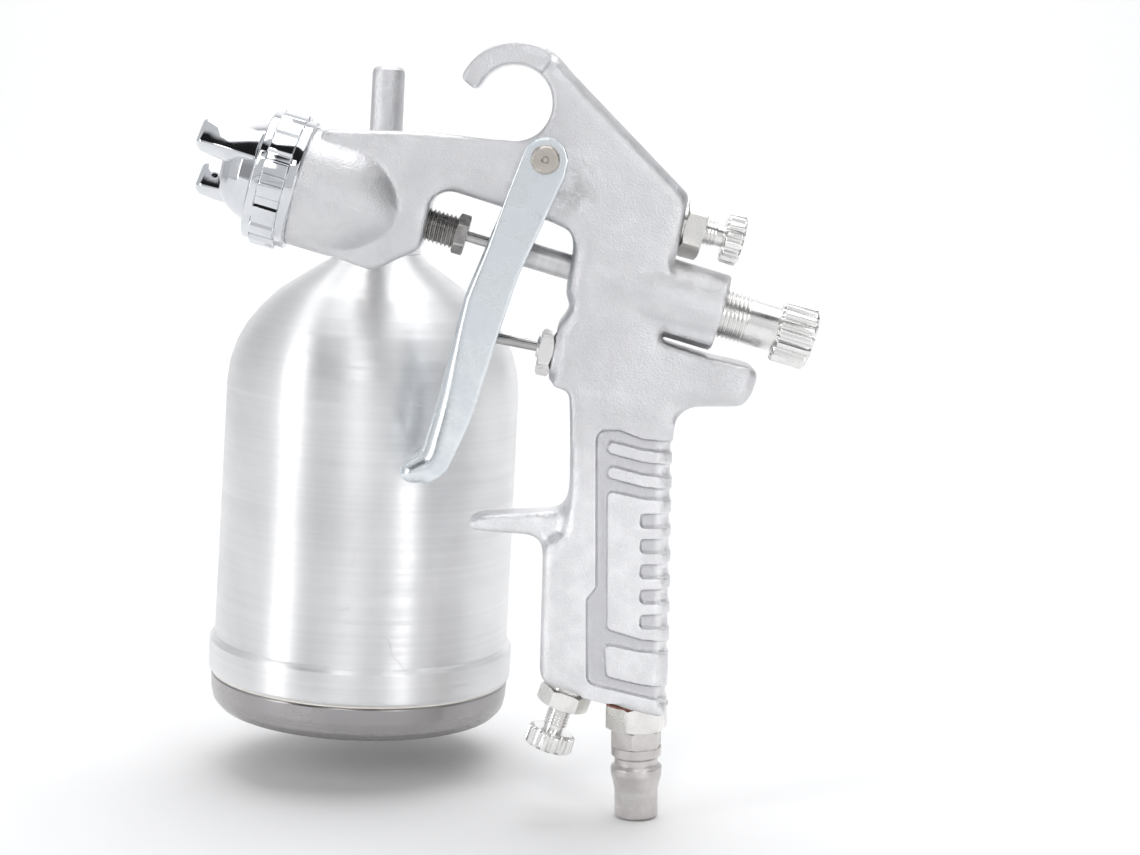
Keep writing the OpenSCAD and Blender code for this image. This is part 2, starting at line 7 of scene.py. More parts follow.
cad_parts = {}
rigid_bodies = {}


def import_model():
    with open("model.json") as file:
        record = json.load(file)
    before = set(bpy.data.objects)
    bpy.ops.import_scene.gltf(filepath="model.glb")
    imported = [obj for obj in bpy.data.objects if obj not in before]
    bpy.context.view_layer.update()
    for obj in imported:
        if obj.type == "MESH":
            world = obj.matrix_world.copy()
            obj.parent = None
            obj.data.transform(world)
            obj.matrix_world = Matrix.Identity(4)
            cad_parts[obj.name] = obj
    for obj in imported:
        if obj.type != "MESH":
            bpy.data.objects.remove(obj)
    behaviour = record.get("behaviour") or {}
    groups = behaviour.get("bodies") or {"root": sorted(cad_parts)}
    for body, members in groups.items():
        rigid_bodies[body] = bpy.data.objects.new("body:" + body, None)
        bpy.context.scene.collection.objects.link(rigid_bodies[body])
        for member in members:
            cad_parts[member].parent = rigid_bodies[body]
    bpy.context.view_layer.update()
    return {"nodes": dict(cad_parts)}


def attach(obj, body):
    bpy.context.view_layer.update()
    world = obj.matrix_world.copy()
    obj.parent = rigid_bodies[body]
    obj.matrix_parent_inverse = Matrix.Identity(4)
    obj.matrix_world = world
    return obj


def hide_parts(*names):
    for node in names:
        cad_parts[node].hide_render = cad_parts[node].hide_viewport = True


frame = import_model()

mm = 0.001

# Places of the inclined axes, in mm: x, y, z and the turn about Y that takes local +Z onto the axis
axes = {
    "barrel": (-85.7, 0, 155.5, 106.9),
    "valve": (-19.7, 0, 114.8, 101),
    "pattern": (13, 0, 143.5, 105),
    "adjust": (-16.9, 0, 31.7, 199),
    "cup": (-72.9, 50.5, 15, 3.44),
    "inlet": (0, 0, 0, 0),
}


def axisPlace(name):
    x, y, z, turn = axes[name]
    return Matrix.Translation((x * mm, y * mm, z * mm)) @ Matrix.Rotation(math.radians(turn), 4, "Y")


atOrigin = Matrix.Identity(4)
barrel = axisPlace("barrel")
portCentre = barrel @ Vector((0, 0, 22.4 * mm))
port = Matrix.Translation((portCentre.x, 0, portCentre.z)) @ Matrix.Rotation(math.radians(-90), 4, "X")
pivot = Matrix.Translation((-21.9 * mm, 0, 159.8 * mm)) @ Matrix.Rotation(math.radians(90), 4, "X")


def deselectAll():
    if bpy.context.object and bpy.context.object.mode != "OBJECT":
        bpy.ops.object.mode_set(mode="OBJECT")
    bpy.ops.object.select_all(action="DESELECT")


def takeUp(piece):
    deselectAll()
    piece.select_set(True)
    bpy.context.view_layer.objects.active = piece


def addModifier(piece, kind, **values):
    takeUp(piece)
    modifier = piece.modifiers.new(kind.title(), kind)
    for key, value in values.items():
        setattr(modifier, key, value)
    bpy.ops.object.modifier_apply(modifier=modifier.name)


def editAll(piece):
    takeUp(piece)
    bpy.ops.object.mode_set(mode="EDIT")
    bpy.ops.mesh.select_mode(type="VERT")
    bpy.ops.mesh.select_all(action="SELECT")


def cleanUp(piece, distance=0.004 * mm):
    editAll(piece)
    bpy.ops.mesh.remove_doubles(threshold=distance)
    bpy.ops.mesh.normals_make_consistent(inside=False)
    bpy.ops.object.mode_set(mode="OBJECT")


def settle(piece, place):
    # the piece's place goes into its mesh
    takeUp(piece)
    piece.matrix_world = place
    bpy.ops.object.transform_apply(location=True, rotation=True, scale=True)
    return piece


def selectPoints(piece, chosen):
    takeUp(piece)
    mesh = piece.data
    mesh.polygons.foreach_set("select", np.zeros(len(mesh.polygons), bool))
    mesh.edges.foreach_set("select", np.zeros(len(mesh.edges), bool))
    mesh.vertices.foreach_set("select", chosen)
    bpy.ops.object.mode_set(mode="EDIT")
    bpy.ops.mesh.select_mode(type="VERT")


def pointsOf(piece, place=None):
    # the piece's points in mm, as seen from a place
    points = np.empty(len(piece.data.vertices) * 3)
    piece.data.vertices.foreach_get("co", points)
    points = points.reshape(-1, 3)
    if place is not None:
        back = np.array(place.inverted())
        points = points @ back[:3, :3].T + back[:3, 3]
    return points / mm


def closeUp(fill=True):
    # the shape in edit mode gets its ends filled and its faces turned outwards
    bpy.ops.mesh.select_all(action="SELECT")
    bpy.ops.mesh.remove_doubles(threshold=0.002 * mm)
    if fill:
        bpy.ops.mesh.fill_holes(sides=0)
    bpy.ops.mesh.normals_make_consistent(inside=False)
    bpy.ops.object.mode_set(mode="OBJECT")


def softened(outline, steps=3):
    # rounds the corners of a (station, radius, corner) line that ask for it
    line = []
    for i, (s, r, *corner) in enumerate(outline):
        size = corner[0] if corner else 0
        if not size or i in (0, len(outline) - 1):
            line.append((s, r))
            continue
        here = Vector((s, r))
        toPrev = (Vector(outline[i - 1][:2]) - here)
        toNext = (Vector(outline[i + 1][:2]) - here)
        half = toPrev.angle(toNext) / 2
        reach = min(size / math.tan(half), toPrev.length * 0.49, toNext.length * 0.49)
        first = here + toPrev.normalized() * reach
        last = here + toNext.normalized() * reach
        for k in range(steps + 1):
            t = k / steps
            point = first * (1 - t) ** 2 + here * 2 * t * (1 - t) + last * t ** 2
            line.append((point.x, point.y))
    return line


def turned(name, place, outline, sides=96, hollow=False):
    # a ring is extruded and resized from station to station, as on a lathe
    line = softened(outline)
    if hollow:
        line.append(line[0])
    deselectAll()
    bpy.ops.mesh.primitive_circle_add(vertices=sides, radius=line[0][1] * mm, fill_type="NOTHING",
                                      location=(0, 0, 0))
    piece = bpy.context.object
    piece.name = name
    bpy.ops.object.mode_set(mode="EDIT")
    bpy.ops.mesh.select_mode(type="VERT")
    bpy.ops.mesh.select_all(action="SELECT")
    bpy.ops.transform.translate(value=(0, 0, line[0][0] * mm))
    for (s0, r0), (s1, r1) in zip(line, line[1:]):
        bpy.ops.mesh.extrude_region_move(TRANSFORM_OT_translate={"value": (0, 0, (s1 - s0) * mm)})
        if abs(r1 - r0) > 1e-6:
            bpy.ops.transform.resize(value=(r1 / r0, r1 / r0, 1), center_override=(0, 0, s1 * mm))
    closeUp(fill=not hollow)
    return settle(piece, place)


def fluted(piece, start, end, count, depth, recess, sides):
    # presses grooves into the rim between two stations; recess gives each class of point its share
    # of the depth, and the piece still lies along Z
    points = pointsOf(piece)
    angle = np.degrees(np.arctan2(points[:, 1], points[:, 0]))
    perFlute = sides // count
    order = np.rint(angle / (360 / sides)).astype(int) % perFlute
    radius = np.hypot(points[:, 0], points[:, 1])
    inBand = (points[:, 2] > start) & (points[:, 2] < end)
    largest = radius[inBand].max()
    outer = inBand & (radius > largest - depth * 1.2)
    for number, share in enumerate(recess):
        if not share:
            continue
        selectPoints(piece, outer & (order == number))
        scale = 1 - depth * share / largest
        bpy.ops.transform.resize(value=(scale, scale, 1), center_override=(0, 0, 0))
    bpy.ops.object.mode_set(mode="OBJECT")


def sixSided(name, place, across, start, end, chamfer=0.7, turn=0.0, bore=0.0):
    # hexagon across its corners, its corners cut back by a turned cone at both ends
    deselectAll()
    depth = end - start
    bpy.ops.mesh.primitive_cylinder_add(vertices=6, radius=across / 2 * mm, depth=depth * mm,
                                        rotation=(0, 0, math.radians(turn + 30)))
    piece = bpy.context.object
    piece.name = name
    bpy.ops.object.transform_apply(location=True, rotation=True, scale=True)
    addModifier(piece, "BEVEL", width=0.12 * mm, segments=2, limit_method="ANGLE",
                angle_limit=math.radians(40))
    rim = across / 2 + 0.02
    slope = chamfer * 0.55
    cone = turned(name + "Cone", atOrigin,
                  [(-depth / 2 - 0.01, rim - chamfer), (-depth / 2 + slope, rim), (depth / 2 - slope, rim),
                   (depth / 2 + 0.01, rim - chamfer)])
    combine(piece, cone, "INTERSECT")
    if bore:
        drill = turned(name + "Bore", atOrigin, [(-depth, bore), (depth, bore)], sides=48)
        combine(piece, drill, "DIFFERENCE")
    return settle(piece, place @ Matrix.Translation((0, 0, (start + end) / 2 * mm)))


def hexPiece(name, place, values, slotName, material, node):
    # a hexagon with the turned stems and thread that go with it
    piece = sixSided(name, place, *values["hex"], turn=values.get("turn", 0))
    others = [turned(name + "Stem", place, line, sides=64) for line in values["stems"]]
    if "thread" in values:
        others.append(threaded(name + "Thread", place, *values["thread"]))
    finished(joined(piece, *others), "gun", slotName, material, node)


def combine(piece, other, operation):
    addModifier(piece, "BOOLEAN", object=other, operation=operation, solver="EXACT")
    bpy.data.objects.remove(other)
    return piece


def threaded(name, place, start, end, crest, depth, pitch, sides=48):
    # one thread's section is carried round and along by a Screw modifier, then cut square at both ends
    deselectAll()
    bpy.ops.mesh.primitive_plane_add(size=mm)
    piece = bpy.context.object
    piece.name = name
    bpy.ops.object.mode_set(mode="EDIT")
    bpy.ops.mesh.select_all(action="SELECT")
    bpy.ops.mesh.merge(type="CENTER")
    bpy.ops.transform.translate(value=((crest - depth) * mm, 0, (start - pitch) * mm))
    for across, along in ((depth, 0.4), (0, 0.14), (-depth, 0.36), (0, 0.1)):
        bpy.ops.mesh.extrude_region_move(
            TRANSFORM_OT_translate={"value": (across * mm, 0, along * pitch * mm)})
    bpy.ops.object.mode_set(mode="OBJECT")
    turns = math.ceil((end - start) / pitch) + 1
    addModifier(piece, "SCREW", axis="Z", angle=2 * math.pi, screw_offset=pitch * mm, iterations=turns,
                steps=sides, render_steps=sides, use_merge_vertices=True, merge_threshold=0.002 * mm)
    editAll(piece)
    bpy.ops.mesh.remove_doubles(threshold=0.003 * mm)
    for station, outer in ((start, False), (end, True)):
        bpy.ops.mesh.select_all(action="SELECT")
        bpy.ops.mesh.bisect(plane_co=(0, 0, station * mm), plane_no=(0, 0, 1), use_fill=True,
                            clear_inner=not outer, clear_outer=outer)
    bpy.ops.mesh.select_all(action="SELECT")
    bpy.ops.mesh.normals_make_consistent(inside=False)
    bpy.ops.object.mode_set(mode="OBJECT")
    return settle(piece, place)


def lofted(name, place, sections):
    # a plate is extruded from section to section: station, low x, high x, half width
    deselectAll()
    bpy.ops.mesh.primitive_plane_add(size=2 * mm)
    piece = bpy.context.object
    piece.name = name
    bpy.ops.object.mode_set(mode="EDIT")
    bpy.ops.mesh.select_all(action="SELECT")
    station, low, high, half = sections[0]
    bpy.ops.transform.resize(value=((high - low) / 2, half, 1), center_override=(0, 0, 0))
    bpy.ops.transform.translate(value=((low + high) / 2 * mm, 0, station * mm))
    for (s0, l0, h0, w0), (s1, l1, h1, w1) in zip(sections, sections[1:]):
        shift = ((l1 + h1) - (l0 + h0)) / 2
        bpy.ops.mesh.extrude_region_move(
            TRANSFORM_OT_translate={"value": (shift * mm, 0, (s1 - s0) * mm)})
        bpy.ops.transform.resize(value=((h1 - l1) / (h0 - l0), w1 / w0, 1),
                                 center_override=((l1 + h1) / 2 * mm, 0, s1 * mm))
    closeUp()
    return settle(piece, place)


def joined(piece, *others):
    takeUp(piece)
    for other in others:
        other.select_set(True)
    bpy.ops.object.join()
    return piece


def soften(piece, width, segments=2, angle=30):
    addModifier(piece, "BEVEL", width=width * mm, segments=segments, limit_method="ANGLE",
                angle_limit=math.radians(angle), harden_normals=False)
    return piece


def copyOf(node):
    # a copy of a CAD node with its loose triangles merged
    deselectAll()
    piece = frame["nodes"][node].copy()
    piece.data = piece.data.copy()
    piece.parent = None
    for key in list(piece.keys()):
        del piece[key]
    bpy.context.scene.collection.objects.link(piece)
    piece.data.materials.clear()
    cleanUp(piece)
    return piece


def weighted(piece, name, weights):
    group = piece.vertex_groups.new(name=name)
    levels = 120
    steps = np.rint(np.clip(weights, 0, 1) * levels).astype(int)
    for step in range(1, levels + 1):
        chosen = np.nonzero(steps == step)[0]
        if len(chosen):
            group.add(chosen.tolist(), step / levels, "REPLACE")
    return group.name


def roundShare(size, distance, half):
    # the share of the half width that stays at a distance inside an edge with a round of this size
    near = np.clip(size - distance, 0, size)
    return 1 - (size - np.sqrt(np.clip(size ** 2 - near ** 2, 0, None))) / half


def drawIn(piece, move, reach):
    # both sides move towards the middle plane, by a share of the reach
    y = pointsOf(piece)[:, 1]
    for sign in (1, -1):
        side = weighted(piece, "side", np.where(y * sign < 0, move, 0))
        addModifier(piece, "DISPLACE", direction="Y", strength=sign * reach * mm, mid_level=0.0,
                    vertex_group=side)


def finished(piece, body, slotName, material, *nodes, angle=32):
    takeUp(piece)
    bpy.ops.object.shade_smooth_by_angle(angle=math.radians(angle))
    piece.data.materials.clear()
    piece.data.materials.append(material)
    piece.vertex_groups.clear()
    for key in [k for k in piece.keys() if not k.startswith("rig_")]:
        del piece[key]
    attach(piece, body)
    if nodes:
        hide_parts(*nodes)
    return piece


def newGroup(name, inputs, outputs):
    group = bpy.data.node_groups.new(name, "ShaderNodeTree")
    for label, kind, value in inputs:
        socket = group.interface.new_socket(label, in_out="INPUT", socket_type="NodeSocket" + kind)
        if value is not None:
            socket.default_value = value
    for label, kind in outputs:
        group.interface.new_socket(label, in_out="OUTPUT", socket_type="NodeSocket" + kind)
    return group, group.nodes.new("NodeGroupInput"), group.nodes.new("NodeGroupOutput")


def addNode(tree, kind, values=None, **links):
    node = tree.nodes.new("ShaderNode" + kind)
    for key, value in (values or {}).items():
        if isinstance(key, str) and hasattr(node, key):
            setattr(node, key, value)
        else:
            node.inputs[key].default_value = value
    for socket, source in links.items():
        tree.links.new(source, node.inputs[socket.replace("_", " ")])
    return node


def mathNode(tree, operation, a, b=0.0, clamp=True):
    node = tree.nodes.new("ShaderNodeMath")
    node.operation = operation
    node.use_clamp = clamp and operation in ("MULTIPLY", "ADD")
    for socket, value in zip(node.inputs, (a, b)):
        if isinstance(value, (int, float)):
            socket.default_value = value
        else:
            tree.links.new(value, socket)
    return node.outputs[0]


def ramp(tree, value, low, high):
    node = addNode(tree, "MapRange", {"clamp": True, "From Min": low, "From Max": high}, Value=value)
    return node.outputs[0]


def makePatches():
    # soft uneven patches, as metal gets from casting, handling and plating
    tree, given, out = newGroup("patches", [("Vector", "Vector", None), ("Scale", "Float", 60.0),
                                            ("Low", "Float", 0.4), ("High", "Float", 0.65)],
                                [("Mask", "Float")])
    noise = addNode(tree, "TexNoise", {"Detail": 5.0, "Roughness": 0.6, "Distortion": 0.4},
                    Vector=given.outputs["Vector"], Scale=given.outputs["Scale"])
    spread = addNode(tree, "MapRange", {}, Value=noise.outputs[0], From_Min=given.outputs["Low"],
                     From_Max=given.outputs["High"])
    tree.links.new(spread.outputs[0], out.inputs["Mask"])
    return tree


def makeGrain():
    # fine pitted skin: small grains under larger soft waves
    tree, given, out = newGroup("castGrain", [("Vector", "Vector", None), ("Scale", "Float", 2500.0),
                                              ("Waves", "Float", 0.35)], [("Height", "Float")])
    fine = addNode(tree, "TexNoise", {"Detail": 3.0, "Roughness": 0.65},
                   Vector=given.outputs["Vector"], Scale=given.outputs["Scale"])
    wideScale = mathNode(tree, "MULTIPLY", given.outputs["Scale"], 0.1, clamp=False)
    wide = addNode(tree, "TexNoise", {"Detail": 2.0}, Vector=given.outputs["Vector"], Scale=wideScale)
    waves = mathNode(tree, "MULTIPLY", wide.outputs[0], given.outputs["Waves"])
    total = mathNode(tree, "ADD", fine.outputs[0], waves, clamp=False)
    tree.links.new(total, out.inputs["Height"])
    return tree


def makeBrushing():
    # fine lines round the local Z axis of the vector that it is given
    tree, given, out = newGroup("brushing", [("Vector", "Vector", None), ("Lines", "Float", 6000.0),
                                             ("Run", "Float", 40.0)],
                                [("Height", "Float"), ("Tone", "Float")])
    stretch = addNode(tree, "CombineXYZ", {}, X=given.outputs["Run"], Y=given.outputs["Run"],
                      Z=given.outputs["Lines"])
    along = addNode(tree, "VectorMath", {"operation": "MULTIPLY"})
    tree.links.new(given.outputs["Vector"], along.inputs[0])
    tree.links.new(stretch.outputs[0], along.inputs[1])
    lines = addNode(tree, "TexNoise", {"Scale": 1.0, "Detail": 4.0, "Roughness": 0.7},
                    Vector=along.outputs[0])
    slower = addNode(tree, "VectorMath", {"operation": "SCALE", "Scale": 0.13})
    tree.links.new(along.outputs[0], slower.inputs[0])
    tone = addNode(tree, "TexNoise", {"Scale": 1.0, "Detail": 3.0}, Vector=slower.outputs[0])
    tree.links.new(lines.outputs[0], out.inputs["Height"])
    tree.links.new(tone.outputs[0], out.inputs["Tone"])
    return tree


def makeScratches():
    # thin crossing scratches: the cell edges of a stretched, wandering Voronoi
    tree, given, out = newGroup("scratches", [("Vector", "Vector", None), ("Scale", "Float", 30.0),
                                              ("Width", "Float", 0.012), ("Amount", "Float", 0.5)],
                                [("Mask", "Float")])
    wander = addNode(tree, "TexNoise", {"Detail": 2.0}, Vector=given.outputs["Vector"],
                     Scale=given.outputs["Scale"])
    bent = addNode(tree, "MixRGB", {"blend_type": "ADD", "Fac": 0.02}, Color1=given.outputs["Vector"],
                   Color2=wander.outputs["Color"])
    cells = addNode(tree, "TexVoronoi", {"feature": "DISTANCE_TO_EDGE"}, Vector=bent.outputs[0],
                    Scale=given.outputs["Scale"])
    thin = addNode(tree, "MapRange", {"From Min": 0.0, "To Min": 1.0, "To Max": 0.0},
                   Value=cells.outputs["Distance"], From_Max=given.outputs["Width"])
    where = addNode(tree, "TexNoise", {"Detail": 1.0}, Vector=given.outputs["Vector"],
                    Scale=given.outputs["Scale"])
    patchy = ramp(tree, where.outputs[0], 0.5, 0.62)
    mask = mathNode(tree, "MULTIPLY", thin.outputs[0], patchy)
    tree.links.new(mathNode(tree, "MULTIPLY", mask, given.outputs["Amount"]), out.inputs["Mask"])
    return tree


def makeWornEdgeAndCreaseShade():
    # a mask that rises on convex edges and breaks up along them, for wear; with falling values it rises in
    # inner corners instead, for painted crease shade
    tree, given, out = newGroup("wornEdgeAndCreaseShade", [("Vector", "Vector", None), ("Pointiness", "Float", 0.5),
                                             ("Start", "Float", 0.52), ("Full", "Float", 0.6)],
                                [("Mask", "Float")])
    rise = addNode(tree, "MapRange", {}, Value=given.outputs["Pointiness"], From_Min=given.outputs["Start"],
                   From_Max=given.outputs["Full"])
    noise = addNode(tree, "TexNoise", {"Scale": 600.0, "Detail": 3.0}, Vector=given.outputs["Vector"])
    broken = ramp(tree, noise.outputs[0], 0.3, 0.6)
    tree.links.new(mathNode(tree, "MULTIPLY", rise.outputs[0], broken), out.inputs["Mask"])
    return tree


groups = {"patches": makePatches(), "castGrain": makeGrain(), "brushing": makeBrushing(),
          "scratches": makeScratches(), "wornEdgeAndCreaseShade": makeWornEdgeAndCreaseShade()}


groupValues = {"patches": ("Scale", "Low", "High"), "castGrain": ("Scale", "Waves"),
               "brushing": ("Lines", "Run"), "scratches": ("Scale", "Width", "Amount"),
               "wornEdgeAndCreaseShade": ("Start", "Full")}


def placeGroup(tree, name, vector, values):
    node = tree.nodes.new("ShaderNodeGroup")
    node.node_tree = groups[name]
    for key, value in zip(groupValues[name], values):
        node.inputs[key].default_value = value
    tree.links.new(vector, node.inputs["Vector"])
    return node


def laidOver(tree, tone, colour, share):
    return addNode(tree, "MixRGB", {"Color2": (*colour, 1)}, Color1=tone, Fac=share).outputs[0]


def edgeMask(tree, vector, values):
    # edges that stand out, or inner corners when the values fall, where it gives painted crease shade
    mask = placeGroup(tree, "wornEdgeAndCreaseShade", vector, values)
    tree.links.new(addNode(tree, "NewGeometry").outputs["Pointiness"], mask.inputs["Pointiness"])
    return mask.outputs["Mask"]


def paintedRecessShadeMask(tree, vector, values):
    # painted shade in the panels that are let into the handle's sides: limits in m for depth, length and
    # height
    spot = addNode(tree, "SeparateXYZ", {}, Vector=vector)
    share = ramp(tree, mathNode(tree, "ABSOLUTE", spot.outputs["Y"]), *values["Y"])
    for axis in "XZ":
        a, b, c, d = values[axis]
        share = mathNode(tree, "MULTIPLY", share, ramp(tree, spot.outputs[axis], a, b))
        share = mathNode(tree, "MULTIPLY", share, ramp(tree, spot.outputs[axis], d, c))
    return share


def darkPatchMask(tree, vector, values):
    # a dark patch about one spot, broken up
    away = addNode(tree, "VectorMath", {"operation": "DISTANCE"})
    tree.links.new(vector, away.inputs[0])
    away.inputs[1].default_value = values["at"]
    near = ramp(tree, away.outputs["Value"], values["reach"], 0.0)
    blot = placeGroup(tree, "patches", vector, values["blot"])
    return mathNode(tree, "MULTIPLY", near, blot.outputs["Mask"])


def metal(name, look, place=None):
    # every finish: patches of tone, fine grain or brushing, scratches and brighter edges; on the casting also
    # painted shade in the recessed panels and creases
    material = bpy.data.materials.new(name)
    material.use_nodes = True
    tree = material.node_tree
    shader = tree.nodes["Principled BSDF"]
    shader.inputs["Metallic"].default_value = look.get("metallic", 1.0)
    vector = addNode(tree, "TexCoord").outputs["Object"]
    if place is not None:
        back = place.inverted()
        vector = addNode(tree, "Mapping", {"Location": back.to_translation(), "Rotation": back.to_euler()},
                         Vector=vector).outputs[0]
    patches = placeGroup(tree, "patches", vector, look["patches"]).outputs["Mask"]
    tone = addNode(tree, "MixRGB", {"Color1": (*look["colour"], 1), "Color2": (*look["second"], 1)},
                   Fac=patches).outputs[0]
    rough = addNode(tree, "MapRange", {"To Min": look["rough"][0], "To Max": look["rough"][1]},
                    Value=patches).outputs[0]
    if "stain" in look:
        stain = placeGroup(tree, "patches", vector, look["stain"])
        tone = laidOver(tree, tone, look["stainColour"], stain.outputs["Mask"])
    # lighter below a given height
    if "lighterBelow" in look:
        level = addNode(tree, "SeparateXYZ", {}, Vector=vector).outputs["Z"]
        tone = laidOver(tree, tone, look["lighterBelowColour"], ramp(tree, level, *look["lighterBelow"]))
    # painted shade: the recessed handle panels are darkened
    if "recess" in look:
        tone = laidOver(tree, tone, look["recessColour"], paintedRecessShadeMask(tree, vector, look["recess"]))
    # painted shade: inner corners and creases are darkened
    if "paintedCreaseShade" in look:
        tone = laidOver(tree, tone, look["paintedCreaseShadeColour"], edgeMask(tree, vector, look["paintedCreaseShade"]))
    # darker about one spot, broken up
    if "darkPatch" in look:
        tone = laidOver(tree, tone, look["darkPatchColour"], darkPatchMask(tree, vector, look["darkPatch"]))
    if "wear" in look:
        tone = laidOver(tree, tone, look["wearColour"], edgeMask(tree, vector, look["wear"]))
    height = None
    if "grain" in look:
        height = placeGroup(tree, "castGrain", vector, look["grain"]).outputs["Height"]
        if "speckle" in look:
            fleck = mathNode(tree, "MULTIPLY", ramp(tree, height, 1.0, 1.6), look["speckle"])
            tone = laidOver(tree, tone, look["second"], fleck)
    if "brush" in look:
        brush = placeGroup(tree, "brushing", vector, look["brush"])
        height = brush.outputs["Height"]
        lines = ramp(tree, brush.outputs["Tone"], 0.3, 0.7)
        tone = laidOver(tree, tone, look["brushColour"],
                        mathNode(tree, "MULTIPLY", lines, look.get("brushShare", 0.35)))
        rough = mathNode(tree, "ADD", rough, mathNode(tree, "MULTIPLY", lines, 0.08))
    if "scratch" in look:
        scratch = placeGroup(tree, "scratches", vector, look["scratch"]).outputs["Mask"]
        rough = mathNode(tree, "ADD", rough, mathNode(tree, "MULTIPLY", scratch, 0.2))
        cut = mathNode(tree, "MULTIPLY", scratch, -0.6, clamp=False)
        height = cut if height is None else mathNode(tree, "ADD", height, cut, clamp=False)
    tree.links.new(tone, shader.inputs["Base Color"])
    tree.links.new(rough, shader.inputs["Roughness"])
    if height is not None:
        bump = addNode(tree, "Bump", {"Strength": look["bump"], "Distance": look["depth"]}, Height=height)
        tree.links.new(bump.outputs[0], shader.inputs["Normal"])
    if "anisotropy" in look:
        shader.inputs["Anisotropic"].default_value = look["anisotropy"]
        shader.inputs["Anisotropic Rotation"].default_value = 0.25
        tangent = addNode(tree, "Tangent", {"direction_type": "RADIAL", "axis": "Z"})
        tree.links.new(tangent.outputs[0], shader.inputs["Tangent"])
    return material


castLook = {"colour": (0.72, 0.72, 0.735), "second": (0.63, 0.63, 0.645), "rough": (0.28, 0.42),
            "patches": (70.0, 0.38, 0.66),
            "stain": (25.0, 0.66, 0.78), "stainColour": (0.52, 0.52, 0.53),
            # a darker patch below and behind the trigger pin
            "darkPatch": {"at": (-0.0168, -0.0075, 0.1525), "reach": 0.0085, "blot": (260.0, 0.4, 0.55)},
            "darkPatchColour": (0.36, 0.36, 0.37),
            "grain": (2000.0, 1.6), "bump": 0.8, "depth": 0.00024, "speckle": 0.45,
            "wear": (0.53, 0.62), "wearColour": (0.9, 0.9, 0.9),
            # the grip is made lighter below 82 mm
            "lighterBelow": (0.1, 0.082), "lighterBelowColour": (0.88, 0.88, 0.895),
            # painted shade inside the handle's recessed side panels
            "recess": {"Y": (0.00935, 0.0091), "X": (-0.0134, -0.0128, 0.0036, 0.0048),
                       "Z": (0.0306, 0.0314, 0.0972, 0.0984)}, "recessColour": (0.62, 0.62, 0.64),
            # painted shade darkening inner corners, creases and rib outlines
            "paintedCreaseShade": (0.485, 0.43), "paintedCreaseShadeColour": (0.5, 0.5, 0.51),
            "scratch": (60.0, 0.01, 0.3)}
cupLook = {"colour": (0.91, 0.91, 0.915), "second": (0.85, 0.85, 0.855), "rough": (0.36, 0.44),
           "patches": (35.0, 0.35, 0.7),
           "brush": (9000.0, 60.0), "brushColour": (0.74, 0.745, 0.75), "brushShare": 0.2,
           "scratch": (40.0, 0.008, 0.7), "bump": 0.22, "depth": 0.00006,
           "anisotropy": 0.88}
chromeLook = {"colour": (0.73, 0.745, 0.77), "second": (0.65, 0.665, 0.69), "rough": (0.05, 0.12),
              "patches": (150.0, 0.4, 0.7),
              "grain": (1200.0, 2.0), "bump": 0.06, "depth": 0.00008}
nickelLook = {"colour": (0.86, 0.85, 0.83), "second": (0.74, 0.725, 0.705), "rough": (0.24, 0.38),
              "patches": (180.0, 0.4, 0.65),
              "grain": (1500.0, 1.2), "bump": 0.15, "depth": 0.00007,
              "wear": (0.53, 0.62), "wearColour": (0.86, 0.84, 0.8),
              "scratch": (180.0, 0.02, 0.4)}
knobLook = {"colour": (0.88, 0.875, 0.865), "second": (0.78, 0.77, 0.755), "rough": (0.2, 0.32),
            "patches": (160.0, 0.4, 0.7),
            "grain": (1500.0, 1.0), "bump": 0.12, "depth": 0.00007}
zincLook = {"colour": (0.85, 0.89, 0.915), "second": (0.74, 0.785, 0.82), "rough": (0.18, 0.34),
            "patches": (90.0, 0.35, 0.62),
            "stain": (160.0, 0.6, 0.72), "stainColour": (0.62, 0.67, 0.74),
            "grain": (1400.0, 2.2), "bump": 0.16, "depth": 0.0001,
            "scratch": (60.0, 0.015, 0.6)}
darkLook = {"colour": (0.27, 0.262, 0.258), "second": (0.42, 0.41, 0.4), "rough": (0.18, 0.32),
            "patches": (250.0, 0.35, 0.65),
            "grain": (2000.0, 1.0), "bump": 0.2, "depth": 0.00008,
            "wear": (0.52, 0.6), "wearColour": (0.55, 0.54, 0.52)}
needleLook = {"colour": (0.5, 0.495, 0.49), "second": (0.4, 0.395, 0.39), "rough": (0.1, 0.2),
              "patches": (200.0, 0.4, 0.7),
              "brush": (4000.0, 200.0), "brushColour": (0.5, 0.5, 0.5), "bump": 0.1,
              "depth": 0.00005}
springLook = dict(needleLook, colour=(0.55, 0.55, 0.56), second=(0.4, 0.4, 0.41))
sleeveLook = dict(needleLook, colour=(0.72, 0.72, 0.725), second=(0.63, 0.63, 0.635), rough=(0.34, 0.46))
pinLook = dict(nickelLook, colour=(0.62, 0.575, 0.53), second=(0.53, 0.49, 0.45), rough=(0.24, 0.36))
lidLook = {"colour": (0.43, 0.415, 0.42), "second": (0.34, 0.33, 0.333), "rough": (0.2, 0.3),
           "patches": (30.0, 0.35, 0.7),
           "brush": (4500.0, 40.0), "brushColour": (0.36, 0.35, 0.355), "brushShare": 0.3,
           "scratch": (60.0, 0.012, 0.6), "bump": 0.15, "depth": 0.00006,
           "anisotropy": 0.4}
plugLook = {"colour": (0.72, 0.69, 0.685), "second": (0.6, 0.575, 0.565), "rough": (0.24, 0.38),
            "patches": (200.0, 0.35, 0.65),
            "brush": (3500.0, 300.0), "brushColour": (0.5, 0.48, 0.47), "brushShare": 0.35,
            "scratch": (200.0, 0.02, 0.5), "bump": 0.2, "depth": 0.00007,
            "wear": (0.53, 0.62), "wearColour": (0.78, 0.76, 0.72)}
brassLook = dict(knobLook, colour=(0.72, 0.53, 0.24), second=(0.6, 0.42, 0.18))
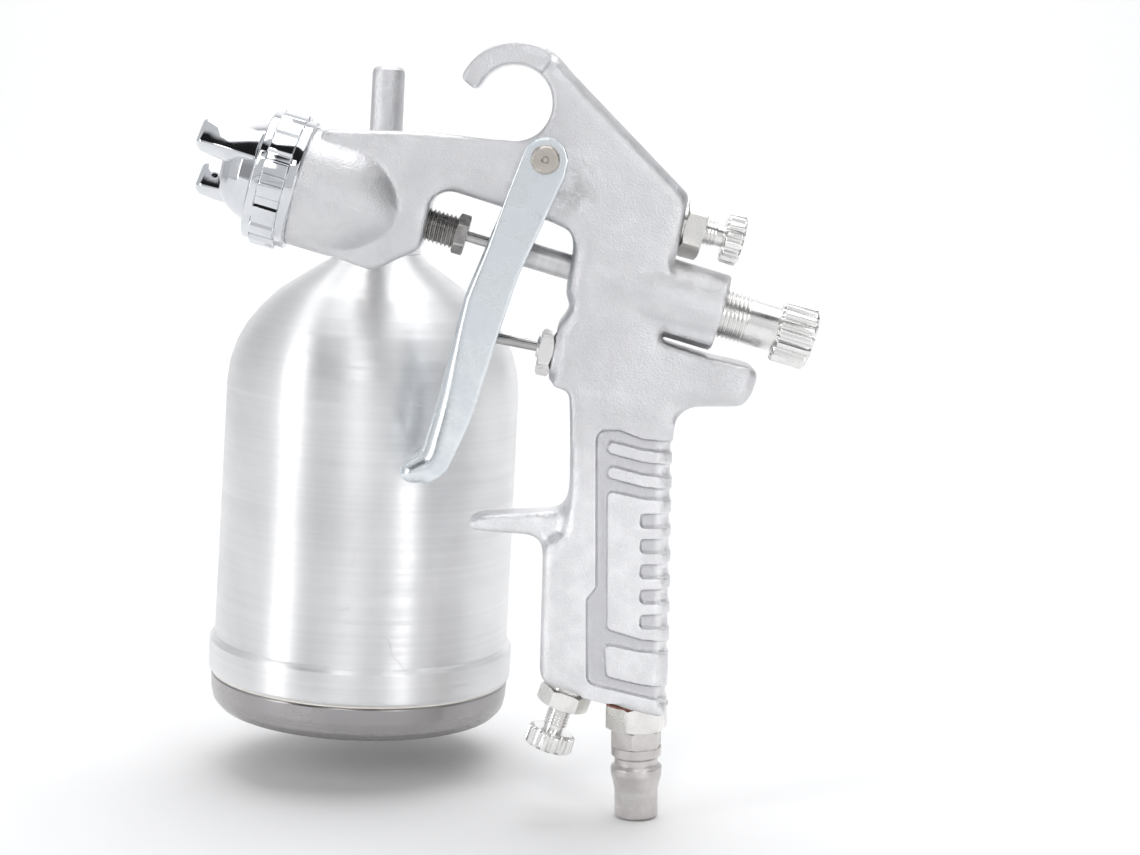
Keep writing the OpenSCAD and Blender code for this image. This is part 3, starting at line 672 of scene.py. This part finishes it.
packingLook = {"metallic": 0.0, "colour": (0.84, 0.81, 0.75), "second": (0.75, 0.71, 0.64),
               "rough": (0.45, 0.65), "patches": (400.0, 0.4, 0.7),
               "grain": (3000.0, 0.5), "bump": 0.2, "depth": 0.00008}
fibreLook = {"metallic": 0.0, "colour": (0.33, 0.15, 0.11), "second": (0.24, 0.1, 0.07),
             "rough": (0.6, 0.85), "patches": (900.0, 0.4, 0.6),
             "grain": (3500.0, 0.6), "bump": 0.4, "depth": 0.0001}
rubberLook = {"metallic": 0.0, "colour": (0.022, 0.022, 0.024), "second": (0.04, 0.04, 0.042),
              "rough": (0.4, 0.6), "patches": (300.0, 0.4, 0.7),
              "grain": (3000.0, 0.5), "bump": 0.15, "depth": 0.00006}

cup = axisPlace("cup")
valve = axisPlace("valve")
pattern = axisPlace("pattern")
adjust = axisPlace("adjust")
inlet = axisPlace("inlet")
hook = Matrix.Translation((-29.1 * mm, 0, 173 * mm)) @ Matrix.Rotation(math.radians(90), 4, "X")

castAluminium = metal("castAluminium", castLook)
spunAluminium = metal("spunAluminium", cupLook, cup)
chrome = metal("chromePlate", chromeLook)
nickel = metal("nickelPlate", nickelLook)
brightKnob = metal("brightKnob", knobLook)
zincPlate = metal("zincPlate", zincLook)
darkSteel = metal("darkSteel", darkLook)
needleSteel = metal("needleSteel", needleLook, barrel)
springSteel = metal("springSteel", springLook)
sleeveSteel = metal("sleeveSteel", sleeveLook, barrel)
pinSteel = metal("pinSteel", pinLook)
lidNickel = metal("lidNickel", lidLook, cup)
plugSteel = metal("plugSteel", plugLook)
brassSeat = metal("brassSeat", brassLook)
whitePacking = metal("whitePacking", packingLook)
redFibre = metal("redFibre", fibreLook)
blackRubber = metal("blackRubber", rubberLook)
print("finishes ready")


casting = {
    "voxel": 0.38,
    "head": [(0.4, 13.9), (1, 14.05), (14, 14.15), (17.3, 14.12), (20, 13.7), (23, 12.75), (26, 11.2),
             (28.5, 9.4), (30.6, 7.6), (31.8, 6.2), (31.8, 5.6), (12, 9), (0.4, 9)],
    "edgeRounds": 120,       # passes that round the casting's edges
    "gripRounds": 200,       # more passes for the wide round of the handle's front
    # the sides lean in from the handle's width to the upper part's: z, low x, high x, half width
    "shoulder": [(96.6, -30, 32, 9.96), (98, -30, 32, 9.96), (121, -30, 32, 7.4)],
    "shoulderScale": 1.334,
    "rearRound": 4.4,        # radius of the handle's rear edges
    "gripHalf": 10.0,
    "gripTop": 96.0,
    "gripFoot": 29.5,
    "ribDepth": 0.5,         # depth of the recess where it runs round the back
    # wide rounds along the upper part's outline: radius, then the line in mm
    "wideRounds": [
        (3.0, [(-14.2, 144), (-15.4, 138.5), (-17.2, 128.5), (-16.2, 125.2), (-18.4, 121.9), (-20.5, 110)]),
        (1.6, [(-44.6, 152.7), (-32.7, 148.9), (-22.1, 145.8), (-15.6, 143.2)]),
        (2.0, [(11.9, 151.4), (-19.2, 183.7)]),
        (1.8, [(5.6, 118), (6.6, 129.5), (9.2, 138.5), (11.7, 151.4)]),
        (2.4, [(8.3, 101.7), (24.6, 101.6), (27, 104.6), (28.6, 109.4)]),
    ],
    "upperHalf": 7.5,
    # the rear boss grows out of the side in a slow slope
    "bossSlope": [(76, 5.2), (76, 7.2), (84, 8.0), (93, 9.25), (93, 5.2)],
    # how far edges are rounded about each axis: place, radius, lowest and highest station, share
    "aboutAxes": [
        (hook, 16, -20, 20, 0.6), (barrel, 10.4, 90, 120, 0.08), (valve, 8.2, -1, 9, 0.2),
        (pattern, 8.6, -4, 20, 0.1), (adjust, 7.8, -2, 20, 0.12), (port, 9.4, 8, 20, 0.12),
        (inlet, 9.2, 0, 30.5, 0.08), (pivot, 5.4, -20, 20, 0.1), (inlet, 4, 29.5, 96, 0.05),
    ],
    "headShare": ([9, 15], [0.03, 0.3]),     # stations along the head and the share there
    "panelShare": 0.012,
    "footShare": 0.12,
    "frontRound": 6.5,       # width of the handle's front that is rounded most
    "threadCrest": 14.1,
    "threadPitch": 0.75,
    "triangles": 185000,
}


drawReach = 5    # mm that a full weight moves a side inwards


def distanceToLine(x, z, line):
    # the least distance from each point to a chain of straight stretches
    best = np.full(len(x), 99.0)
    for (x0, z0), (x1, z1) in zip(line, line[1:]):
        run, rise = x1 - x0, z1 - z0
        share = np.clip(((x - x0) * run + (z - z0) * rise) / (run * run + rise * rise), 0, 1)
        best = np.minimum(best, np.hypot(x - x0 - share * run, z - z0 - share * rise))
    return best


def handleRecess(z):
    # True where the side panel's recess runs round the handle's back
    raised = [(88.1, 90.9), (82.2, 85.0), (45.4, 79.6), (34.1, 42.4)]
    notches = [(76.7 - 6.1 * i - 3.5, 76.7 - 6.1 * i) for i in range(5)]
    inPanel = (z > 31.6) & (z < 93.6)
    high = np.zeros(len(z), bool)
    for low, top in raised:
        high |= (z > low) & (z < top)
    for low, top in notches:
        high &= ~((z > low) & (z < top))
    return inPanel & ~high


def castBody(values):
    piece = copyOf("gun_body")
    piece.name = "castBody"
    shoulder = copyOf("gun_body")
    shoulder.name = "shoulder"
    editAll(shoulder)
    bpy.ops.transform.resize(value=(1, values["shoulderScale"], 1), center_override=(0, 0, 0))
    bpy.ops.object.mode_set(mode="OBJECT")
    combine(shoulder, lofted("wedge", atOrigin, values["shoulder"]), "INTERSECT")
    piece = joined(piece, shoulder, turned("headCone", barrel, values["head"], hollow=True),
                   turned("bossSlope", barrel, values["bossSlope"], hollow=True))
    addModifier(piece, "REMESH", mode="VOXEL", voxel_size=values["voxel"] * mm, use_smooth_shade=True)
    points = pointsOf(piece)
    x, y, z = points.T
    inGrip = (z < values["gripTop"]) & (z > values["gripFoot"]) & (x > -24.5) & (x < 9.5)
    # the handle's front and rear lines, read from the mesh in 1 mm steps
    level = np.floor(z).astype(int)
    distFront = np.full(len(z), 99.0)
    distRear = np.full(len(z), 99.0)
    for k in range(int(values["gripFoot"]), int(values["gripTop"]) + 1):
        here = inGrip & (level == k)
        if here.any():
            distRear[here] = x[here].max() - x[here]
            front = max(x[here].min(), -23.8) if k < 71 else -16.4
            distFront[here] = x[here] - front
    # the recess goes round the back
    rearFace = inGrip & (distRear < 0.6) & handleRecess(z)
    weighted(piece, "rearFace", rearFace * 1.0)
    addModifier(piece, "DISPLACE", direction="X", strength=-values["ribDepth"] * mm, mid_level=0.0,
                vertex_group="rearFace")
    # the rear edges are drawn in to a round
    size = values["rearRound"]
    keep = roundShare(size, distRear, values["gripHalf"])
    fade = np.clip((values["gripTop"] - z) / 4, 0, 1) * np.clip((z - values["gripFoot"]) / 0.8, 0, 1)
    drawIn(piece, np.abs(y) * (1 - keep) * fade * inGrip / size, size)
    x, y, z = pointsOf(piece).T
    s = pointsOf(piece, barrel)
    aboutBarrel = np.hypot(s[:, 0], s[:, 1])
    inUpper = (z > 100) & (np.abs(y) > 3.4) & ~((aboutBarrel < 10) & (s[:, 2] > 84))
    move = np.zeros(len(z))
    for size, line in values["wideRounds"]:
        keep = roundShare(size, distanceToLine(x, z, line), values["upperHalf"])
        move = np.maximum(move, np.abs(y) * (1 - keep) * inUpper / drawReach)
    drawIn(piece, move, drawReach)
    # where edges are rounded, and by how much
    weight = np.ones(len(z))
    inHead = (aboutBarrel < 14.8) & (s[:, 2] < 31.5)
    weight[inHead] = np.interp(s[inHead, 2], *values["headShare"])
    for place, radius, low, high, share in values["aboutAxes"]:
        across, up, station = pointsOf(piece, place).T
        weight[(np.hypot(across, up) < radius) & (station > low) & (station < high)] = share
    panel = (z > 30.5) & (z < 98) & (x > -13.4) & (np.abs(y) > 3)
    weight[panel] = values["panelShare"]
    foot = inGrip & (z < 33) & (x > -2)
    weight[foot] = np.minimum(weight[foot], values["footShare"])
    grip = np.clip((values["frontRound"] - distFront) / 2, 0, 1) * inGrip * (z < 94)
    grip = np.where(panel, 0, grip) * (np.abs(y) > 2.5)
    edges = weighted(piece, "edges", weight)
    gripFront = weighted(piece, "gripFront", grip)
    addModifier(piece, "SMOOTH", factor=0.5, iterations=values["edgeRounds"], vertex_group=edges)
    addModifier(piece, "SMOOTH", factor=0.5, iterations=values["gripRounds"], vertex_group=gripFront)
    addModifier(piece, "SMOOTH", factor=0.5, iterations=1)
    count = sum(len(f.vertices) - 2 for f in piece.data.polygons)
    addModifier(piece, "DECIMATE", ratio=min(1.0, values["triangles"] / count))
    # fine thread that stands behind the ring
    crest = values["threadCrest"]
    thread = threaded("headThread", barrel, 0.6, 9.4, crest + 0.02, 0.5, values["threadPitch"], sides=96)
    piece = joined(piece, thread)
    finished(piece, "gun", "cast_aluminium", castAluminium, "gun_body", angle=40)
    print("cast body:", count, "triangles before thinning")


castBody(casting)


airCap = {
    "dome": [(-12.4, 2.15), (-12.4, 5.4, 0.5), (-11.4, 7.6, 1.5), (-9.6, 9.4, 1.5), (-7.2, 10.9, 2),
             (-4.2, 11.9, 1), (-2.35, 12.0, 0.3), (-2.35, 13.9, 0.3), (-0.4, 13.9), (-0.4, 10.6),
             (-4, 10.4), (-7.4, 9), (-9.8, 6.6), (-11.2, 4), (-11.2, 2.15)],
    "hornSections": [(-4.2, 8.0, 11.9, 3.85), (-10, 6.2, 12.2, 3.85), (-13.6, 7.0, 12.1, 3.8),
                     (-17.6, 7.5, 11.7, 3.7), (-18.8, 8.6, 11.0, 3.0)],
    "turn": 236,
    "jetHole": 0.65,
    "jetStations": (-16.4, -14.4),
    "noseHoles": ((2.9, 0, 0.4), (4.4, 0, 0.4), (0, 3.2, 0.45)),
}


def makeAirCap(values):
    place = barrel @ Matrix.Rotation(math.radians(values["turn"]), 4, "Z")
    piece = turned("airCap", atOrigin, values["dome"], sides=96, hollow=True)
    for side in (0, 180):
        horn = lofted("horn", atOrigin, values["hornSections"])
        soften(horn, 0.7, segments=3, angle=25)
        settle(horn, Matrix.Rotation(math.radians(side), 4, "Z"))
        combine(piece, horn, "UNION")
    drills = []
    for side in (0, 180):
        half = Matrix.Rotation(math.radians(side), 4, "Z")
        for station in values["jetStations"]:
            start = half @ Matrix.Translation((10.2 * mm, 0, station * mm)) @ Matrix.Rotation(
                math.radians(-64), 4, "Y")
            drills.append(turned("jet", start, [(0, values["jetHole"]), (6, values["jetHole"])], sides=24))
        for x, y, radius in values["noseHoles"]:
            drills.append(turned("noseHole", half @ Matrix.Translation((x * mm, y * mm, 0)),
                                 [(-13, radius), (-10.5, radius)], sides=20))
    for drill in drills:
        combine(piece, drill, "DIFFERENCE")
    soften(piece, 0.12, segments=2, angle=38)
    settle(piece, place)
    finished(piece, "air_cap", "chrome", chrome, "air_cap", angle=35)


makeAirCap(airCap)

capRing = {
    "outline": [(-3.9, 12.1), (-3.9, 14.9, 0.4), (-3.5, 15.4, 0.4), (-1.85, 15.4), (-1.8, 16.0, 0.1),
                (-1.5, 16.3, 0.2), (3.9, 16.3, 0.2), (4.1, 16.0, 0.1), (4.15, 15.4), (6.1, 15.4, 0.3),
                (6.5, 15.0, 0.2), (6.5, 14.2), (-2.45, 14.2), (-2.45, 12.1)],
    "flutes": 18,
    "sides": 216,
    "depth": 0.75,
    "recess": (0, 0, 0, 0, 1, 1, 1, 1, 1, 0, 0, 0),
}


def makeRing(values):
    piece = turned("capRing", atOrigin, values["outline"], sides=values["sides"], hollow=True)
    fluted(piece, -1.83, 4.13, values["flutes"], values["depth"], values["recess"], values["sides"])
    soften(piece, 0.12, segments=2, angle=30)
    settle(piece, barrel)
    finished(piece, "cap_ring", "chrome", chrome, "air_cap_ring", angle=32)


makeRing(capRing)
print("air cap and ring done")


packingScrew = {"thread": (33.3, 44.4, 3.95, 0.55, 1.0), "hex": (9.8, 44.3, 47.1, 0.6)}
screw = joined(threaded("packingScrew", barrel, *packingScrew["thread"]),
               sixSided("packingHead", barrel, *packingScrew["hex"]))
finished(screw, "gun", "dark_steel", darkSteel, "packing_screw")

needleSleeve = {"outline": [(54.8, 1.35), (54.8, 2.7, 0.1), (55.2, 3.05, 0.1), (79.9, 3.05, 0.3), (80.5, 2.6),
                            (80.5, 1.35)]}
sleeve = turned("needleSleeve", barrel, needleSleeve["outline"], sides=64, hollow=True)
finished(sleeve, "needle", "needle_steel", sleeveSteel, "needle_sleeve")

fluidKnob = {
    "stem": [(98.3, 5.3), (110.4, 5.3, 0.2), (110.5, 5.3), (116.4, 5.3), (116.6, 5.45, 0.2), (123.6, 5.45),
             (123.8, 6.3, 0.3), (124.5, 7.3, 0.3), (132.2, 7.4, 0.6), (132.9, 6.3, 0.4), (132.7, 5.2, 0.3),
             (132.7, 1.0)],
    "thread": (109.6, 116.3, 5.85, 0.55, 1.0),
    "flutes": 16,
    "sides": 160,
    "depth": 0.8,
    "recess": (0, 0, 0, 0.55, 0.9, 1, 0.9, 0.55, 0, 0),
}


def makeKnob(name, place, body, nodeNames, values, band, slotName, material):
    piece = turned(name, atOrigin, values["stem"], sides=values["sides"])
    fluted(piece, band[0], band[1], values["flutes"], values["depth"], values["recess"], values["sides"])
    soften(piece, 0.1, segments=1, angle=33)
    if "thread" in values:
        start, end, crest, depth, pitch = values["thread"]
        piece = joined(piece, threaded(name + "Thread", atOrigin, start, end, crest, depth, pitch))
    settle(piece, place)
    finished(piece, body, slotName, material, *nodeNames, angle=36)


makeKnob("fluidKnob", barrel, "fluid_knob", ["fluid_knob"], fluidKnob, (123.9, 132.85), "bright_knob",
         brightKnob)


# hexagons: width across the corners, start, end and chamfer
patternHousing = {"hex": (14.4, -2.4, 2.5, 1.0), "stems": [[(-13.5, 5.0), (-2.2, 5.0)]]}
hexPiece("patternHousing", pattern, patternHousing, "nickel", nickel, "pattern_valve_housing")

smallFlutes = {"flutes": 14, "sides": 140, "depth": 0.75, "recess": (0, 0, 0, 0.6, 1, 1, 1, 0.6, 0, 0)}
patternKnob = {
    "stem": [(-17, 0.6), (-11, 2.0), (-7, 2.2), (-4.5, 2.65), (7.2, 2.65), (7.3, 4.9, 0.3), (7.9, 5.9, 0.3),
             (11.5, 6.0, 0.4), (12, 5.2, 0.3), (11.9, 4.2, 0.2), (11.9, 0.8)],
    "thread": (0.5, 5.4, 3.1, 0.4, 0.8),
    **smallFlutes,
}
makeKnob("patternKnob", pattern, "pattern_knob", ["pattern_valve_knob"], patternKnob, (7.25, 11.95),
         "bright_knob", brightKnob)
print("needle line and pattern valve done")


triggerSheet = {
    "voxel": 0.32,
    "rounds": 7,
    "triangles": 150000,
    "half": 9.4,
    "front": [(-27.5, 158.5), (-32.8, 146.8), (-41.1, 127.8), (-47.4, 104.4), (-51.6, 91), (-56.4, 88.2),
              (-57, 85.2), (-54.6, 83.4), (-51, 83.2)],
    "frontRound": {160: 0.01, 146: 0.4, 140: 1.4, 120: 2.4, 100: 4.6, 92: 5.0, 84: 3.6},
}


def makeTrigger(values):
    piece = copyOf("trigger")
    piece.name = "triggerSheet"
    addModifier(piece, "REMESH", mode="VOXEL", voxel_size=values["voxel"] * mm, use_smooth_shade=True)
    # the channel's front edges are rolled round, more and more towards the tip
    x, y, z = pointsOf(piece).T
    heights = sorted(values["frontRound"])
    size = np.interp(z, heights, [values["frontRound"][h] for h in heights])
    keep = roundShare(size, distanceToLine(x, z, values["front"]), values["half"])
    drawIn(piece, np.abs(y) * (1 - keep) / drawReach, drawReach)
    addModifier(piece, "SMOOTH", factor=0.5, iterations=values["rounds"])
    count = sum(len(f.vertices) - 2 for f in piece.data.polygons)
    addModifier(piece, "DECIMATE", ratio=min(1.0, values["triangles"] / count))
    finished(piece, "trigger", "zinc_plate", zincPlate, "trigger", angle=50)
    print("trigger:", count, "triangles before thinning")


makeTrigger(triggerSheet)

triggerPin = {"outline": [(-9.7, 2.5), (9.7, 2.5), (9.7, 3.4, 0.1), (10.3, 3.4, 0.3), (10.95, 2.9, 0.3),
                          (11, 1.0), (10.5, 0.5), (10.45, 0.05)]}
pin = turned("triggerPin", pivot, triggerPin["outline"], sides=64)
finished(pin, "gun", "nickel", pinSteel, "trigger_pin")

pinScrew = {"outline": [(9.7, 3.4, 0.1), (10.4, 3.4, 0.2), (11.1, 3.0, 0.3), (11.1, 0.6)],
            "slot": (7, 0.8, 1.0)}


def makePinScrew(values):
    piece = turned("pinScrew", atOrigin, values["outline"], sides=64)
    length, width, depth = values["slot"]
    deselectAll()
    bpy.ops.mesh.primitive_cube_add(size=mm, location=(0, 0, 11.1 * mm))
    cutter = bpy.context.object
    cutter.scale = (length, width, depth)
    takeUp(cutter)
    bpy.ops.object.transform_apply(location=True, rotation=True, scale=True)
    combine(piece, cutter, "DIFFERENCE")
    settle(piece, pivot @ Matrix.Rotation(math.radians(180), 4, "X"))
    finished(piece, "gun", "nickel", pinSteel, "trigger_pin_screw")


makePinScrew(pinScrew)


valveGland = {"hex": (13.8, -3.9, -0.5, 1.0),
              "stems": [[(-0.6, 5.0), (8.5, 5.0)], [(-4.5, 1.36), (-4.5, 2.6, 0.2), (-3.8, 2.8)]]}
hexPiece("valveGland", valve, valveGland, "bright_knob", brightKnob, "air_valve_gland")


adjustHousing = {"hex": (13.0, 0.1, 4.3, 0.8), "stems": [[(-8, 4.5), (0.2, 4.5)]]}
hexPiece("adjustHousing", adjust, adjustHousing, "nickel", nickel, "air_adjust_housing")

adjustKnob = {
    "stem": [(-13, 0.5), (-6, 1.8), (-4, 2.45), (10.5, 2.45), (10.55, 4.9, 0.3), (11.2, 5.9, 0.3),
             (14.8, 6.0, 0.4), (15.3, 5.2, 0.3), (15.2, 4.2, 0.2), (15.2, 0.8)],
    "thread": (2.5, 9.2, 2.9, 0.38, 0.8),
    **smallFlutes,
}
makeKnob("adjustKnob", adjust, "air_adjust", ["air_adjust_knob"], adjustKnob, (10.6, 15.25), "bright_knob",
         brightKnob)
print("valves and trigger done")


inletJoint = {"hex": (15.4, 22.1, 28.2, 0.9), "turn": 12, "stems": [[(28.1, 5.0), (36.6, 5.0)]]}
hexPiece("inletJoint", inlet, inletJoint, "nickel", nickel, "inlet_joint")

airPlug = {
    "outline": [(0, 3.0), (0, 4.7, 0.2), (0.5, 5.3, 0.3), (7, 5.3, 2), (10.3, 6.1, 0.5), (11.0, 6.25, 0.3),
                (12.6, 6.25, 0.3), (13.4, 5.3, 0.2), (14.8, 5.3, 0.2), (15.5, 6.1, 0.2), (17.6, 6.1),
                (17.6, 4.0), (30.4, 4.0), (30.4, 3.0)],
    "hex": (13.0, 17.5, 22.05, 0.8),
    "turn": 18,
    "bore": 3.0,
}
plug = turned("airPlug", inlet, airPlug["outline"], sides=96, hollow=True)
plug = joined(plug, sixSided("plugHex", inlet, *airPlug["hex"], turn=airPlug["turn"], bore=airPlug["bore"]))
finished(plug, "gun", "nickel", plugSteel, "air_plug")
print("air inlet done")


portNipple = {"hex": (15.0, 14.32, 17.5, 0.9), "stems": [[(4, 5.0), (14.4, 5.0)]],
              "thread": (17.4, 25.3, 6.5, 0.6, 1.2)}
hexPiece("portNipple", port, portNipple, "nickel", nickel, "port_nipple")

cupNut = {"hex": (20.5, 17.9, 29.3, 1.4), "bore": 6.0}
nut = sixSided("cupNut", port, *cupNut["hex"], bore=cupNut["bore"])
finished(nut, "cup_nut", "nickel", nickel, "cup_nut")

cupFitting = {
    "rod": [(138, 6.2), (140.9, 6.6, 0.8), (141.2, 5.3, 0.3), (143.6, 4.3, 0.6), (164, 4.2),
            (168.5, 4.2, 1.9), (168.5, 0.4)],
    "block": [(122.9, 6.4, 0.4), (123.6, 7.0, 0.4), (140.2, 7.0, 0.5), (140.9, 6.2, 0.4), (141, 3.0)],
    "pipe": [(25.5, 6.2), (27.5, 6.2), (27.6, 4.5), (36.3, 4.5, 1), (43.4, 6.4, 1), (43.6, 6.6),
             (57, 6.6, 0.6), (57.3, 5.8), (57.3, 1.0)],
}


def makeFitting(values):
    piece = turned("cupFitting", cup, values["block"], sides=96)
    combine(piece, turned("pipe", port, values["pipe"], sides=96), "UNION")
    combine(piece, turned("rod", cup, values["rod"], sides=96), "UNION")
    soften(piece, 0.2, segments=2, angle=35)
    finished(piece, "cup", "cast_aluminium", castAluminium, "cup_elbow")


makeFitting(cupFitting)

collar = turned("cupCollar", cup, [(120.75, 3.7), (120.75, 10.5, 0.2), (122.5, 10.5, 0.4), (122.9, 10.0, 0.2),
                                   (122.9, 3.7)], sides=96, hollow=True)
finished(collar, "cup", "nickel", spunAluminium, "cup_collar")

cupShell = {
    "outer": [(120.7, 4.0), (120.7, 10.7, 0.3), (118.6, 12.7, 3), (114.3, 19.2, 9), (109.7, 25.9, 9),
              (105.4, 30, 9), (101, 33.4, 9), (96, 36, 9), (91, 37.5, 9), (85.4, 38.1, 9), (40, 38.5),
              (18.9, 38.7, 0.3), (18.5, 39.4, 0.2), (17.6, 40, 0.6), (10.1, 40, 0.5), (9.4, 39.4, 0.3),
              (9.4, 37.8)],
    "inner": [(84.9, 37.2), (91, 36.5, 8), (96, 35.1, 8), (101, 32.5, 8), (105, 29.1, 8), (109, 24.6, 8),
              (113.4, 18.2, 8), (117.6, 12.3, 3), (120.0, 9.8), (120.0, 4.0)],
}
shell = turned("cupShell", cup, cupShell["outer"] + cupShell["inner"], sides=192, hollow=True)
finished(shell, "cup", "spun_aluminium", spunAluminium, "cup", angle=28)

lidPan = {
    "outline": [(0, 0.5), (0, 25, 1.5), (-0.8, 29, 1.5), (-0.8, 34, 1.5), (0, 36.8, 2), (1.9, 38.5, 1.5),
                (4.6, 39.1, 1), (8.4, 39.3, 0.3), (8.9, 39.0, 0.2), (8.9, 37.5), (16.5, 37.5), (16.5, 36.5),
                (5, 36.5, 1), (1.4, 35.6, 1), (0.4, 33.6), (0.3, 29.3), (1.1, 25.4), (1.1, 0.5)],
}
lid = turned("lidPan", cup, lidPan["outline"], sides=192, hollow=True)
editAll(lid)
bpy.ops.mesh.fill_holes(sides=0)
bpy.ops.object.mode_set(mode="OBJECT")
finished(lid, "lid", "lid_nickel", lidNickel, "cup_lid", angle=28)
print("cup, fitting and lid done")


keptNodes = {
    "fluid_nozzle": chrome, "needle_packing": whitePacking, "fluid_needle": needleSteel,
    "needle_spring": springSteel, "pattern_valve_oring": blackRubber, "air_valve_packing": whitePacking,
    "air_valve_rod": needleSteel, "air_valve_poppet": brassSeat, "air_valve_spring": springSteel,
    "air_adjust_oring": blackRubber, "inlet_washer": redFibre, "lid_gasket": whitePacking,
}
for node, material in keptNodes.items():
    part = frame["nodes"][node]
    part.data.materials.clear()
    part.data.materials.append(material)
print("CAD parts finished:", len(keptNodes))


floorSweep = {"size": 6.0, "back": 2.4, "height": 3.0, "bend": 0.9, "level": -0.0002}


def makeFloor(values):
    deselectAll()
    middle = values["back"] - values["size"] / 2
    bpy.ops.mesh.primitive_plane_add(size=values["size"], location=(0, middle, values["level"]))
    floor = bpy.context.object
    floor.name = "floorSweep"
    points = np.array([v.co for v in floor.data.vertices])
    selectPoints(floor, points[:, 1] > values["size"] / 2 - 0.01)
    bpy.ops.mesh.extrude_region_move(TRANSFORM_OT_translate={"value": (0, 0, values["height"])})
    bpy.ops.object.mode_set(mode="OBJECT")
    bpy.ops.object.transform_apply(location=True, rotation=True, scale=True)
    addModifier(floor, "BEVEL", width=values["bend"], segments=16, limit_method="ANGLE",
                angle_limit=math.radians(40))
    bpy.ops.object.shade_smooth_by_angle(angle=math.radians(30))
    material = bpy.data.materials.new("paleFloor")
    material.use_nodes = True
    shader = material.node_tree.nodes["Principled BSDF"]
    shader.inputs["Base Color"].default_value = (0.9, 0.9, 0.9, 1)
    shader.inputs["Roughness"].default_value = 0.9
    shader.inputs["Specular IOR Level"].default_value = 0.2
    floor.data.materials.append(material)


makeFloor(floorSweep)

# soft boxes: place, width, height, power; all but the wall box look at the gun
softBoxes = {
    "topBox": ((0.1, 0.1, 1.5), 1.6, 1.2, 9),
    "leftBox": ((-1.42, -0.72, 0.55), 0.3, 1.3, 5.2),
    "rightBox": ((0.86, -1.26, 0.5), 0.24, 1.2, 4.2),
    "frontBox": ((-0.25, -1.5, 1.1), 0.35, 0.8, 3),
    "wallBox": ((0, 1.0, 2.0), 2.5, 0.6, 25),
}
aim = Vector((-0.03, 0.02, 0.09))
for name, (spot, width, height, power) in softBoxes.items():
    data = bpy.data.lights.new(name, "AREA")
    data.shape = "RECTANGLE"
    data.size = width
    data.size_y = height
    data.energy = power
    light = bpy.data.objects.new(name, data)
    light.location = spot
    goal = aim if name != "wallBox" else Vector((0, 2.4, 0.5))
    light.rotation_euler = (goal - Vector(spot)).to_track_quat("-Z", "Y").to_euler()
    bpy.context.scene.collection.objects.link(light)

studio = {"pale": (0.94, 0.95, 0.97, 1), "dark": (0.02, 0.02, 0.022, 1), "strength": 0.73,
          "bandLow": 0.56, "bandHigh": 0.9, "edge": 0.06,
          # dimmer walls: turn from the front in degrees, half width, how dim
          "walls": ((-44, 12, 0.5), (68, 23, 1.0), (-112, 14, 0.2))}


def makeWorld(values):
    # a pale room with a dark gap high in front, which gives the bright metal its dark lines
    world = bpy.data.worlds.new("studioAir")
    world.use_nodes = True
    tree = world.node_tree
    back = tree.nodes["Background"]
    back.inputs["Strength"].default_value = values["strength"]
    toward = addNode(tree, "SeparateXYZ", {}, Vector=addNode(tree, "TexCoord").outputs["Generated"])
    low = ramp(tree, toward.outputs["Z"], values["bandLow"], values["bandLow"] + values["edge"])
    high = ramp(tree, toward.outputs["Z"], values["bandHigh"], values["bandHigh"] - values["edge"])
    front = ramp(tree, toward.outputs["Y"], -0.1, -0.3)
    band = mathNode(tree, "MULTIPLY", mathNode(tree, "MULTIPLY", low, high), front)
    ahead = mathNode(tree, "MULTIPLY", toward.outputs["Y"], -1.0, clamp=False)
    azimuth = mathNode(tree, "ARCTAN2", toward.outputs["X"], ahead)
    lowPart = ramp(tree, toward.outputs["Z"], 0.75, 0.35)
    for turn, half, dim in values["walls"]:
        away = mathNode(tree, "ABSOLUTE", mathNode(tree, "SUBTRACT", azimuth, math.radians(turn)))
        near = ramp(tree, away, math.radians(half * 1.3), math.radians(half * 0.7))
        near = mathNode(tree, "MULTIPLY", near, lowPart)
        band = mathNode(tree, "MAXIMUM", band, mathNode(tree, "MULTIPLY", near, dim))
    unseen = mathNode(tree, "SUBTRACT", 1.0, addNode(tree, "LightPath").outputs["Is Camera Ray"])
    share = mathNode(tree, "MULTIPLY", band, unseen)
    tone = addNode(tree, "MixRGB", {"Color1": values["pale"], "Color2": values["dark"]}, Fac=share)
    tree.links.new(tone.outputs[0], back.inputs["Color"])
    bpy.context.scene.world = world


makeWorld(studio)
bpy.context.scene.view_settings.view_transform = "Standard"

view = {"target": (-0.0162, 0, 0.0960), "distance": 0.520, "elevation": 7.5, "lens": 68.43, "sensor": 36}
up = math.radians(view["elevation"])
cameraData = bpy.data.cameras.new("mainView")
cameraData.lens = view["lens"]
cameraData.sensor_width = view["sensor"]
cameraData.clip_start = 0.01
camera = bpy.data.objects.new("mainView", cameraData)
camera.location = Vector(view["target"]) + Vector((0, -math.cos(up), math.sin(up))) * view["distance"]
camera.rotation_euler = (math.radians(90) - up, 0, 0)
bpy.context.scene.collection.objects.link(camera)
bpy.context.scene.camera = camera
